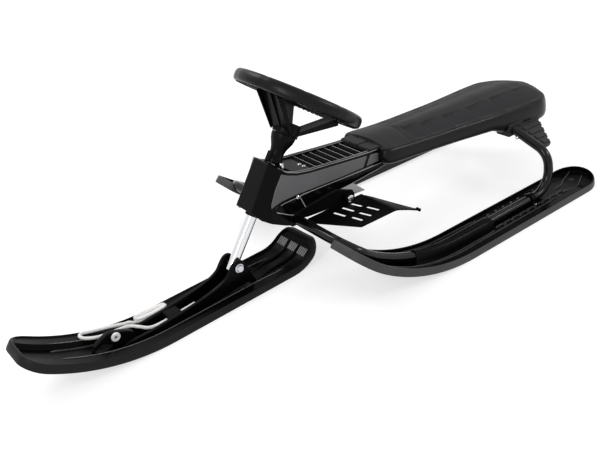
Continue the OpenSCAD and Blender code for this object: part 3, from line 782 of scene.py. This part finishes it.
# Seat
SEAT_WIDTH = [(-112, 56), (-116, 63), (-124, 68), (-140, 70.5), (-200, 72), (-260, 75), (-310, 78),
              (-350, 81.5), (-390, 85), (-430, 89), (-470, 92.5), (-510, 95.5), (-545, 96), (-562, 93),
              (-577, 86), (-590, 75), (-601, 59), (-609, 41), (-614, 24)]
SEAM_IN = 7.4
SEAT_TOP = [(-112, 185), (-138, 183), (-174, 179.5), (-214, 176.5), (-257, 174), (-304, 172), (-355, 169),
            (-409, 166.5), (-463, 165), (-501, 164), (-540, 163), (-617, 160.5)]
SEAT_LOW = [(-112, 154), (-160, 150), (-200, 147.5), (-300, 141), (-404, 134), (-428, 123), (-500, 120),
            (-575, 117), (-600, 122), (-617, 134)]
CROWN = [(-112, 6), (-140, 10), (-173, 13), (-300, 14.5), (-433, 19), (-530, 19), (-575, 15), (-617, 5)]
PANELS = [(-150, 0), (-203, 14), (-246, 20), (-308, 24), (-374, 27), (-448, 29), (-526, 30), (-578, 30)]


def table_at(table, x):
    for (x0, w0), (x1, w1) in zip(table, table[1:]):
        if x <= x0 and x >= x1:
            t = (x0 - x) / (x0 - x1)
            return w0 + (w1 - w0) * t
    return table[0][1] if x > table[0][0] else table[-1][1]


def seat_outline(inset):
    """The seat's plan, drawn inwards by inset."""
    side = [Vector((x, w, 0)) for x, w in SEAT_WIDTH]
    front = [Vector((SEAT_FRONT, y, 0)) for y in (0, 20, 40)]
    rear = [Vector((SEAT_REAR, y, 0)) for y in (10, 0)]
    half = smooth_route(front + side + rear, 9)
    full = half + [Vector((p.x, -p.y, 0)) for p in half[-2:0:-1]]
    out = []
    n = len(full)
    for k in range(n):
        t = (full[(k + 1) % n] - full[k - 1]).normalized()
        out.append((full[k].x - t.y * inset, full[k].y + t.x * inset))
    return out


def seat_z(x, local):
    """Height of the seam at x, plus local."""
    return table_at(SEAT_TOP, x) + local


def seat_low(x):
    """Height of the shell's lower edge over the seat's edge, which is negative."""
    return table_at(SEAT_LOW, x) - table_at(SEAT_TOP, x)


def seat_relief(x, y):
    """The pad: a ridge along the middle, panels that step down on both sides, and a plain front."""
    half = table_at(SEAT_WIDTH, x) - SEAM_IN
    out = min(1, abs(y) / half)
    h = table_at(CROWN, x) * (1 - out ** 1.7)
    # A low step runs along the middle, higher on the near side
    h += 1.6 * ramp(y, -7, -5.5) * ramp(-x, 190, 205) * (1 - ramp(-x, 560, 580)) * (1 - ramp(y, 2, 26))
    for (x0, y0), (x1, y1) in zip(PANELS[1:], PANELS[2:]):
        if x1 <= x < x0:
            t = (x0 - x) / (x0 - x1)
            inner = y0 + (y1 - y0) * t * 0.35
            across = ramp(abs(y), inner, inner + 3) * (1 - ramp(out, 0.88, 0.98))
            h -= across * 3.8 * (1 - t) ** 1.2 * ramp(t, 0.0, 0.04)
    if x > -203:
        # Shallow groove between the plain front and the panels
        h -= 0.9 * math.exp(-((x + 192 - 0.14 * abs(y)) / 2.2) ** 2)
    return h


def in_panel(x, y):
    half = table_at(SEAT_WIDTH, x) - SEAM_IN
    for (x0, y0), (x1, y1) in zip(PANELS[1:], PANELS[2:]):
        if x1 <= x < x0:
            t = (x0 - x) / (x0 - x1)
            return abs(y) > y0 + (y1 - y0) * t * 0.35 + 2 and abs(y) / half < 0.94 and 0.05 < t < 0.99
    return False


def make_seat(m):
    # Shell: smooth side with a rounded lower edge, a lip under the pad and a closed floor
    s = Shape()
    profile = [(11, 0.0), (7.5, -0.01), (4.5, 0.01), (2.0, 0.07), (0.6, 0.16), (0.0, 0.30), (0.5, 0.50),
               (1.7, 0.70), (3.3, 0.86), (5.0, 0.96), (6.3, 1.0)]
    last = None
    for d, up in profile:
        ring = [(x, y, seat_z(x, seat_low(x) * (1 - up) - 0.6 * up)) for x, y in seat_outline(d)]
        ids = s.ring(ring)
        if last:
            s.bridge(last, ids)
        else:
            first = ids
        last = ids
    for d, drop in ((6.9, -0.9), (7.2, -2.4)):
        ids = s.ring([(x, y, seat_z(x, drop)) for x, y in seat_outline(d)])
        s.bridge(last, ids)
        last = ids
    s.face(last)
    # Inside of the rim and a floor between the sides, above the frame
    inner = s.ring([(x, y, seat_z(x, -14)) for x, y in seat_outline(12)])
    s.bridge(inner, first)
    s.face(inner[::-1])
    s.make("seat_body", "chassis", "gloss_black", m["shell"], replaces=["seat_shell"], smooth=32)
    # Pad
    pad = Shape()
    last = None
    for d, h in ((7.4, -2.2), (7.4, -0.6), (7.8, 0.1), (9.0, 0.5)):
        ids = pad.ring([(x, y, seat_z(x, h)) for x, y in seat_outline(d)])
        if last:
            pad.bridge(last, ids)
        else:
            first = ids
        last = ids
    pad.face(first[::-1])
    loop = seat_outline(9.0)
    xs = [SEAT_FRONT - 2.5 * k for k in range(203)]
    ys = [k * 2.5 for k in range(-38, 39)]
    fill(pad, last, loop, [(x, y) for x in xs for y in ys],
         lambda x, y: (x, y, seat_z(x, max(0.5, seat_relief(x, y)))))
    index = []
    for face, old in zip(pad.faces, pad.index):
        cx = sum(pad.verts[i][0] for i in face) / len(face)
        cy = sum(pad.verts[i][1] for i in face) / len(face)
        index.append(1 if len(face) == 3 and in_panel(cx, cy) else 0)
    pad.index = index
    obj = pad.make("seat_cushion", "chassis", "seat_black", [m["pad"], m["hex"]], replaces=["seat_pad"],
                   smooth=28)


# Body
LIP = [(111, 221), (99, 211.5), (79, 203.5), (53, 198.5), (10, 194), (-37, 189), (-88, 184.2), (-112, 183)]
RAIL_TOP = [(135, 150), (131, 156), (125, 159), (118, 160.5), (82, 161), (-75, 156), (-160, 154)]
RAIL_LOW = [(135, 147), (118, 137), (101, 128), (71, 132), (20, 133), (-43, 136), (-114, 142), (-160, 150)]


def make_cowl(m):
    """A wall in the shape of a C: raked front face, a facet on each side and short sides."""
    low = [(103, 45.6, 106), (116, 46, 111), (145, 44, 125.5), (161, 37, 136), (173, 25, 151)]
    top = [(95, 43.5, 209), (103, 43.4, 214.5), (111.5, 42.5, 220.3), (117.5, 33, 225.5), (122, 21.5, 229.5)]
    top_in = [(95, 36, 208), (101, 36, 213), (105, 34, 217), (110, 27, 222), (115, 17, 226.5)]
    low_in = [(103, 41, 107), (114, 41, 112), (141, 39, 127), (156, 32, 138), (167, 22, 152)]
    both = [[(x, -y, z) for x, y, z in side] + [(x, y, z) for x, y, z in side[::-1]]
            for side in (low, top, top_in, low_in)]
    s = Shape()
    rings = [s.ring([line[k] for line in both]) for k in range(10)]
    for k, (a, b) in enumerate(zip(rings, rings[1:])):
        s.bridge(a, b, 1 if k == 4 else 0)
    s.face(rings[0][::-1])
    s.face(rings[-1])
    s.make("cowl_wall", "chassis", "gloss_black", [m["gloss"], m["satin"]], replaces=["cowl"], bevel=2.0,
           smooth=18)
    # Floor of the recess round the neck, and the plate that closes the cowl below
    f = Shape()
    f.box((84, -38, 196), (112, 38, 199))
    under = [(96, 40, 124), (112, 40, 124), (140, 38, 130), (155, 31, 140), (166, 21, 153)]
    f.loft([[(x, y, z - h) for x, y, z in under + [(x, -y, z) for x, y, z in under[::-1]]] for h in (3, 0)])
    f.make("cowl_floor", "chassis", "matt_black", m["matt"])


def beam_section(x):
    lip, low = table_at(LIP, x), table_at(RAIL_LOW, x)
    side = [(40, low - 2), (43, low - 1), (44, low + 2), (44, table_at(RAIL_TOP, x)),
            (43.2, table_at(RAIL_TOP, x) + 1), (43.2, lip - 6.5), (44.3, lip - 5.6), (44.3, lip - 1.4),
            (43, lip), (38, lip), (36.6, lip - 1.2), (35.6, lip - 5.8), (34, lip - 6.5)]
    inner = [(-38, low - 2), (-38, lip - 12), (38, lip - 12), (38, low - 2)]
    return side + [(-y, z) for y, z in side[::-1]] + inner


def make_beam(m):
    s = Shape()
    xs = [111, 105, 99, 92, 85, 79, 72, 65, 53, 40, 25, 10, -14, -37, -62, -88, -112]
    s.loft([[(x, y, z) for y, z in beam_section(x)] for x in xs])
    s.make("beam_shell", "chassis", "gloss_black", m["gloss"], replaces=["beam"], bevel=0.7, smooth=28)
    # The end under the seat
    t = Shape()
    rings = []
    for x in (-108, -130, -160, -190, -214):
        low = table_at([(-108, 141), (-160, 148), (-214, 148.5)], x)
        rings.append([(x, -44, low), (x, 44, low), (x, 44, 156), (x, -44, 156)])
    t.loft(rings)
    t.make("beam_end", "chassis", "matt_black", m["satin"], bevel=2)
    for sign, name in SIDES:
        r = Shape()
        rings = []
        for x in (135.5, 134, 131, 125, 118, 110, 101, 94, 82, 71, 55, 20, -43, -80, -114, -140, -160):
            low, top = table_at(RAIL_LOW, x), table_at(RAIL_TOP, x)
            out = 47.2 + 2.6 * ramp(x, 68, 84) - 6 * ramp(x, 122, 137)
            rings.append([(x, sign * y, z) for y, z in (
                (40, low + 1), (out - 2.4, low), (out - 0.6, low + 2), (out, low * 0.62 + top * 0.38),
                (out - 0.4, top - 3), (out - 2.2, top - 0.6), (out - 4, top), (40, top))])
        r.loft(rings)
        r.make("beam_rail_" + name, "chassis", "gloss_black", m["gloss"], smooth=32)
        # Light strips at the seams of the part that holds the tube, painted highlights, and its screw
        e = Shape()
        e.box((70.6, 44, 133), (72.2, 49.6, 158.5),
              lambda x, y, z, sign=sign: (x + (z - 133) * 0.42, sign * y, z))
        e.box((100, 44, 126.4), (132, 47.9, 128.6),
              lambda x, y, z, sign=sign: (x, sign * y, z + (x - 100) * 0.56))
        e.make("rail_seam_highlight_" + name, "chassis", "steel", m["highlight_paint"], bevel=0.3)
        c = Shape()
        lathe(c, [(3.4, 48), (3.4, 50.6), (2.4, 51.4)],
              lambda x, z, h, sign=sign: (87 + x, sign * h, 160 + z), 20)
        c.make("rail_screw_" + name, "chassis", "steel", m["steel"])


def make_edge_highlights(m):
    """Thin tubes in a light colour along the deck's lips and the rails: painted highlights on their edges."""
    s = Shape()
    lip_xs = (106, 99, 92, 79, 66, 53, 30, 10, -14, -37, -62, -88, -110)
    rail_xs = (124, 118, 101, 82, 71, 50, 20, -11, -43, -78, -114, -150)
    for sign in (-1, 1):
        lines = [[(x, 44.1, table_at(LIP, x) - 0.3) for x in lip_xs],
                 [(x, 36.6, table_at(LIP, x) - 0.3) for x in lip_xs],
                 [(x, 47.0 + 2.4 * ramp(x, 68, 84), table_at(RAIL_TOP, x) - 1.6) for x in rail_xs],
                 [(x, 46.2 + 2.4 * ramp(x, 68, 84), table_at(RAIL_LOW, x) + 1.2) for x in rail_xs]]
        for line in lines:
            tube(s, smooth_route([(x, sign * y, z) for x, y, z in line], 8), 0.55, 8)
    s.make("edge_highlight_lines", "chassis", "steel", m["highlight_paint"])


def make_panels(m):
    big = [(112, 212), (99, 205.5), (79, 198), (53, 193), (10, 188.5), (-37, 183.5), (-85, 178.5), (-74, 158),
           (-9, 158.6), (81, 162.2), (118, 161.2), (134, 158), (141, 156), (140.5, 163), (129, 187)]
    small = [(-93, 177.5), (-108, 176), (-118, 172.5), (-121, 165), (-116, 158), (-82, 158)]
    for sign, name in SIDES:
        for outline, place, replaced in ((big, "side_plate_", ["side_panel_" + name]),
                                         (small, "rear_plate_", [])):
            s = Shape()
            s.prism(outline, 42.8, 44.9, lambda a, b, t, sign=sign: (a, sign * t, b))
            s.make(place + name, "chassis", "dark_grey", m["grey"], replaces=replaced, bevel=0.8)


def make_deck(m):
    """Louvres, a screwed plate in front of them and the latch in front of the seat."""
    s = Shape()

    def slope(x):
        return table_at(LIP, x)

    for k in range(7):
        x = 34 - 18.3 * k
        s.loft([[(x + a, y, slope(x + a) + h) for a, h in ((6, -6.4), (5, -3.2), (-6, -2.4), (-6.6, -6.4))]
                for y in (-35.4, 35.4)])
        # A thin bar in the light edge colour on each louvre's rear edge: a painted highlight
        s.loft([[(x + a, y, slope(x + a) + h) for a, h in ((-5.4, -3), (-5.4, -1.9), (-6.5, -1.9),
                                                           (-6.5, -3))] for y in (-34.6, 34.6)], 1)
    s.make("louvre_set", "chassis", "matt_black", [m["louvre"], m["highlight_paint"]], replaces=["grille"], bevel=0.2)
    plate = Shape()
    plate.loft([[(x, y, slope(x) - h) for x, y in ((78, -24), (78, 24), (64, 33), (38, 33), (38, -33),
                                                   (64, -33))] for h in (6.6, 3.2)])
    plate.make("deck_plate", "chassis", "matt_black", m["satin"], bevel=1.2)
    c = Shape()
    for x, y in ((44, 4), (43, 16)):
        lathe(c, [(3.6, -3.4), (3.6, -2.2), (2.2, -1.2)],
              lambda a, b, h, x=x, y=y: (x + a, y + b, slope(x) + h), 20)
    lathe(c, [(4.4, -7), (4.4, 1), (3, 3)], lambda a, b, h: (95 + a, 21 + b, 218 + h), 20)
    c.make("deck_screws", "chassis", "steel", m["steel"])
    latch = Shape()
    for y0, y1, back, high in ((-43, -17.5, -126, 187.4), (-16.3, 6.3, -134, 188.6), (7.5, 43, -126, 187.4)):
        latch.loft([[(x, y, z) for x, z in ((-93, 178), (-93.6, high - 2), (-96, high), (back, high - 1.2),
                                            (back, 178))] for y in (y0, y1)])
    latch.box((-126, -42, 174), (-95, 42, 184))
    latch.make("latch_tabs", "chassis", "matt_black", m["pad"], replaces=["latch_block"], bevel=1.0)


def make_pods(m, cross_z):
    for sign, name in SIDES:
        s = Shape()
        outline = [(-14, 18), (-14, -8), (-9, -12), (11, -12), (14, -8), (14, 18)]
        s.prism(outline, 14, 45.4, lambda a, b, t: (CROSS_X + a, sign * t, cross_z + b))
        s.make("pod_case_" + name, "chassis", "gloss_black", m["gloss"], replaces=["pod_" + name], bevel=2.2)


# Steering
def make_wheel(m):
    """Rim with soft seams and a ribbed underside, three open channel spokes, hub cup, neck and stem."""
    profile = [(120, -2), (119.6, -6), (118.2, -9.4), (115, -11.4), (110, -11.5), (99, -11.5), (95.6, -10),
               (94.2, -6.5), (94, 0), (94.2, 6.5), (95.6, 10), (99, 11.4), (110, 11.5), (115, 10.6),
               (118.4, 7.6), (119.8, 3)]
    s = Shape()
    count = 120
    rings = []
    for k in range(count):
        a = 2 * math.pi * k / count
        dip = 0.7 if k % 12 == 5 else 0
        ring = []
        for r, h in profile:
            r -= dip if r > 97 else -dip
            ring.append(steered(r * math.cos(a), r * math.sin(a), WHEEL_UP + h * (1 - dip * 0.05)))
        rings.append(ring)
    ids = [s.ring(r) for r in rings]
    for a, b in zip(ids, ids[1:] + ids[:1]):
        s.bridge(a, b)
    s.make("rim_grip", "steering", "rim_black", m["rim"], replaces=["wheel_rim"], smooth=50)
    ribs = Shape()
    for k in range(72):
        a = 2 * math.pi * (k + 0.5) / 72
        c, d = math.cos(a), math.sin(a)
        ribs.box((98, -0.8, WHEEL_UP - 12.6), (113, 0.8, WHEEL_UP - 11),
                 lambda x, y, z, c=c, d=d: steered(x * c - y * d, x * d + y * c, z))
    ribs.make("rim_ribs", "steering", "rim_black", m["satin"])
    h = Shape()
    cup = [(14, 1), (22.6, 1), (23.8, 3), (24, 22), (22.5, 24), (19, 24), (18, 14), (3, 14)]
    lathe(h, [(r, HUB_LOW + up) for r, up in cup], steered, 48)
    for angle, wide in ((19, 22), (-122, 15), (178, 12.5)):
        a = math.radians(angle)
        c, d = math.cos(a), math.sin(a)
        rings = []
        for t in (0, 0.2, 0.5, 0.8, 1):
            r, up = 15 + 85 * t, HUB_LOW + 6 + 56 * t
            half, deep = wide, 4 + 8 * t
            # Across a spoke: two flanges that point down, joined by a web with a rib
            side = [(half, 2.4), (half, -deep), (half - 3, -deep), (half - 3.6, -0.6), (2, -0.6),
                    (1.4, -deep / 2)]
            section = [(-w, n) for w, n in side] + side[::-1]
            rings.append([steered((r - n * 0.5) * c - w * d, (r - n * 0.5) * d + w * c, up + n * 0.87)
                          for w, n in section])
        h.loft(rings)
    h.box((-31, -4, HUB_LOW - 1), (-23, 4, HUB_LOW + 6), steered)
    h.make("hub_spokes", "steering", "matt_black", m["satin"], replaces=["wheel_hub"], bevel=0.7, smooth=30)
    n = Shape()
    neck = [(10.5, 0), (14.6, 0), (15.2, 3), (15.2, 11), (14, 13), (13.2, 15), (13.4, 24), (15, 30), (18, 37),
            (21, 44), (22.4, 51), (22.4, 55.5), (10.5, 55.5)]
    lathe(n, [(r, NECK_LOW + h) for r, h in neck], steered, 48)
    n.box((9, -5, NECK_LOW + 2), (17.4, 5, NECK_LOW + 20), steered)
    n.make("neck_cup", "steering", "matt_black", m["satin"], replaces=["wheel_neck"], bevel=0.6, smooth=35)
    stem = Shape()
    lathe(stem, [(10, -11), (10, NECK_LOW + 38)], on_stem, 40)
    stem.make("stem_tube", "steering", "bright_stem", m["zinc"], replaces=["steering_stem"], bevel=0.5)


# Brackets and brake
def make_brackets(m):
    """Stepped gusset behind each end of the rear arch, with slots, and the foot that holds the arch."""
    slope = math.atan2(ARCH_Z - KNEE_Z, KNEE_Y - ARCH_TOP_Y)
    for sign, name in SIDES:
        def place(x, y, h, sign=sign):
            across = ARCH_TOP_Y + y * math.cos(slope) + h * math.sin(slope)
            return x + ARCH_X, sign * across, ARCH_Z - y * math.sin(slope) + h * math.cos(slope)

        s = Shape()
        outline = [(-2, 0)]
        steps = [(78 - 10.8 * k, 16.8 * k) for k in range(5)]
        for wide, low in steps:
            outline += [(-wide, low), (-wide + 2.5, low + 16.4)]
        outline += [(-22, 84), (-8, 84), (-8, 20)]
        s.prism(outline, -5, 5, place)
        for wide, low in steps:
            s.box((-wide + 1, low + 1, 4), (-14, low + 12, 7.2), place)
            s.box((-wide + 1, low + 1, -7.2), (-14, low + 12, -4), place)
        s.box((-28, 60, 110), (16, 94, 137), lambda x, y, z, sign=sign: (x + ARCH_X, sign * y, z))
        s.make("gusset_" + name, "chassis", "dark_grey", m["bracket"], replaces=["rear_bracket_" + name],
               bevel=0.9)
        c = Shape()
        lathe(c, [(3.6, -3), (3.6, 3), (2.2, 4)],
              lambda a, b, h, sign=sign: (ARCH_X + 12 + h, sign * (112 + a), 113 + b), 20)
        c.make("gusset_screw_" + name, "chassis", "steel", m["steel"])


def holed_plate(shape, outline, holes, low, high, place):
    """A plate with holes, as a closed mesh."""
    loops = [outline] + holes
    flat, edges = [], []
    for loop in loops:
        start = len(flat)
        flat += [Vector(p) for p in loop]
        edges += [(start + k, start + (k + 1) % len(loop)) for k in range(len(loop))]

    verts, _, faces, _, _, _ = delaunay_2d_cdt(flat, edges, [], 1, 1e-5)
    bottom = shape.ring([place(v.x, v.y, low) for v in verts])
    top = shape.ring([place(v.x, v.y, high) for v in verts])
    sides = {}
    for f in faces:
        middle = sum((verts[i] for i in f), Vector((0, 0))) / len(f)
        if not inside(outline, *middle) or any(inside(h, *middle) for h in holes):
            continue
        a, b, c = (verts[i] for i in f[:3])
        order = list(f) if (b - a).cross(c - a) > 0 else list(f)[::-1]
        shape.face([top[i] for i in order])
        shape.face([bottom[i] for i in order[::-1]])
        for i, j in zip(order, order[1:] + order[:1]):
            sides[(i, j)] = True
    for i, j in sides:
        if (j, i) not in sides:
            shape.face((bottom[i], bottom[j], top[j], top[i]))


def make_brake(m):
    """Winged plate with slots, a claw behind each wing, and the hanger on the beam."""
    wing = [(72, 52), (72, 74), (24, 145), (-58, 146), (-58, 52)]
    slots = []
    for x0, y0, x1, y1 in ((-19, 63, -27, 90), (-31, 97, -39, 124), (2, 65, -5, 93), (-7, 103, -15, 129),
                           (25, 68, 18, 96), (13, 106, 7, 130)):
        slots.append([(x0 - 4, y0), (x0 + 4, y0), (x1 + 4, y1), (x1 - 4, y1)])
    s = Shape()
    for sign in (1, -1):
        def place(x, y, h, sign=sign):
            return x, sign * y, h

        holed_plate(s, wing, slots, 108, 111, place)
        # Claw: a sheet that runs back and down to a small hook
        fin = [[(-58, 58), (-58, 146)], [(-66, 72), (-66, 146)], [(-90, 113), (-90, 146)],
               [(-112, 138), (-112, 146)], [(-118, 141), (-118, 147)]]
        fall = [0, 2, 11.5, 21.5, 24]
        for (a, b), (c, d), u, v in zip(fin, fin[1:], fall, fall[1:]):
            s.loft([[place(*a, 111 - u), place(*b, 111 - u), place(*d, 111 - v), place(*c, 111 - v)],
                    [place(*a, 108 - u), place(*b, 108 - u), place(*d, 108 - v), place(*c, 108 - v)]])
        tube(s, [Vector(place(-118, 139, 86)), Vector(place(-118, 148, 86))], 3.2, 16)
        s.box((-35, 52, 104), (-13, 60, 126), place)
    s.make("brake_wings", "brake", "brake_steel", m["brake"], replaces=["brake_plate"], bevel=0.5)
    for sign, name in SIDES:
        h = Shape()
        outline = [(100, 131), (94, 117), (68, 112), (-34, 104), (-41, 107), (-43, 113), (-43, 122),
                   (-38, 127), (2, 142)]
        h.prism(outline, 44.4, 50.2, lambda a, b, t, sign=sign: (a, sign * t, b))
        h.make("hanger_" + name, "chassis", "dark_grey", m["satin"],
               replaces=["brake_hanger"] if sign == 1 else [], bevel=1.6)
        # Inclined stay beside the hanger, in light grey: a painted reflection
        g = Shape()
        g.loft([[(x, sign * y, z - k) for x, y, z in ((-8, 44.5, 141), (-38, 44.5, 143), (-68, 52, 116),
                                                      (-38, 51.5, 118))] for k in (1.6, 0)])
        g.make("stay_" + name, "chassis", "dark_grey", m["stay"], bevel=0.4)
    p = Shape()
    tube(p, [Vector((PIVOT_X, y, PIVOT_Z)) for y in (-60, 0, 60)], 5, 28)
    for sign in (1, -1):
        lathe(p, [(7.4, 60), (7.4, 62.4), (5, 63.6)],
              lambda x, z, h, sign=sign: (PIVOT_X + x, sign * h, PIVOT_Z + z), 28)
    p.make("pivot_rod", "chassis", "steel", m["steel"], replaces=["brake_pivot"], bevel=0.4)


# Rope end of the front ski
def make_cleat(m):
    """Cross block with a ribbed top, the bent cleat lever and its white eye."""
    b = Shape()
    b.box((335, -13, 4), (361, 13, 23))
    for k in range(4):
        b.box((337.5 + 6 * k, -11, 22), (340.5 + 6 * k, 11, 24.2))
    b.make("block_case", "ski_swivel", "matt_black", m["matt"], replaces=["cross_block"], bevel=1.2,
           turned=True)
    lever = Shape()
    route = [(425, 24), (432, 31), (446, 38), (462, 44), (470, 45), (482, 40), (496, 32)]
    lever.loft([[(x, y, z) for y, z in ((-5, low), (5, low), (5, z + 1), (3.6, z + 2.2), (-3.6, z + 2.2),
                                        (-5, z + 1))]
                for (x, z), low in zip(route, (16, 16, 16, 18, 26, 32, 27))])
    lever.make("cleat_lever", "ski_swivel", "matt_black", m["satin"], replaces=["rope_cleat"], bevel=0.8,
               turned=True)
    eye = Shape()
    eye_ring = [(3, -2), (7, -2), (8, -1.2), (8, 1.2), (7, 2), (3, 2)]
    count = 32
    ids = [eye.ring([(458 + r * math.cos(2 * math.pi * k / count), 7 + h,
                      36 + r * math.sin(2 * math.pi * k / count)) for r, h in eye_ring])
           for k in range(count)]
    for a, c in zip(ids, ids[1:] + ids[:1]):
        eye.bridge(a, c)
    eye.make("white_eye", "ski_swivel", "white_plastic", m["white"], replaces=["cleat_pin"], turned=True)


ROPE_ROUTE = [(302, 0, 16), (340, 0, 14), (376, 0, 12), (396, -1, 15), (410, -7, 22), (424, -15, 27),
              (442, -20, 27), (458, -21, 28), (474, -21, 31), (488, -23, 35), (499, -29, 38), (502, -36, 40),
              (496, -42, 39), (484, -43, 35), (468, -42, 31), (452, -41, 27), (436, -38, 24), (426, -35, 22),
              (416, -33, 21)]


def hank_turns(first, last, low, rounds):
    """Long turns of a folded rope between two ends, wound up and down through the bundle."""
    points = []
    for k in range(rounds):
        level = low + 5.2 * (k % 3)
        side = 8 - 2.2 * (k % 2)
        for j in range(12):
            a = 2 * math.pi * j / 12
            x = (first + last) / 2 + (last - first) / 2 * max(-1, min(1, 1.35 * math.cos(a)))
            points.append((x, -33 - side * math.sin(a), level + 5.2 * j / 12 * (1 if k % 3 < 2 else -2)))
    return points


def make_rope(m):
    """The rope: through the block, past the lever, round a loop on the nose and into its hank."""
    spin = Matrix.Rotation(YAW, 3, "Z")
    lead = smooth_route(ROPE_ROUTE, 4)
    turns = smooth_route([lead[-1]] + hank_turns(346, 402, 12, 5), 4)
    route = [BOLT + spin @ (p - BOLT) for p in lead + turns[1:]]
    data = bpy.data.curves.new("tow_rope", "CURVE")
    data.dimensions = "3D"
    data.bevel_depth = 3 * MM
    data.bevel_resolution = 5
    data.resolution_u = 1
    line = data.splines.new("POLY")
    line.points.add(len(route) - 1)
    for point, place in zip(line.points, route):
        point.co = (*(place * MM), 1)
    data.materials.append(m["rope"])
    rope = bpy.data.objects.new("tow_rope", data)
    scene.collection.objects.link(rope)
    length = sum((b - a).length for a, b in zip(route, route[1:])) * MM
    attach(rope, "ski_swivel")
    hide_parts("rope", "rope_hank")


make_camera()
mats = make_materials()
make_rope(mats)
make_world()
make_floor()
area_light("key", (0.6, -1.6, 2.4), (0.0, 0, 0.1), (1.6, 1.2), 30)
area_light("front strip", (1.6, 0.7, 1.1), (0.0, 0, 0.15), (0.16, 1.0), 10)
area_light("rear strip", (-1.4, 1.5, 1.3), (-0.2, 0.1, 0.1), (1.1, 0.16), 12)
rear_ski = make_rear_skis(mats)
make_front_ski(mats)
make_fork(mats)
cross_z = make_frame(mats)
make_clamps(mats, rear_ski)
make_cleat(mats)
make_seat(mats)
make_cowl(mats)
make_beam(mats)
make_edge_highlights(mats)
make_panels(mats)
make_deck(mats)
make_pods(mats, cross_z)
make_wheel(mats)
make_brackets(mats)
make_brake(mats)

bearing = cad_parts["stem_bearing"].data
bearing.materials.clear()
bearing.materials.append(mats["matt"])
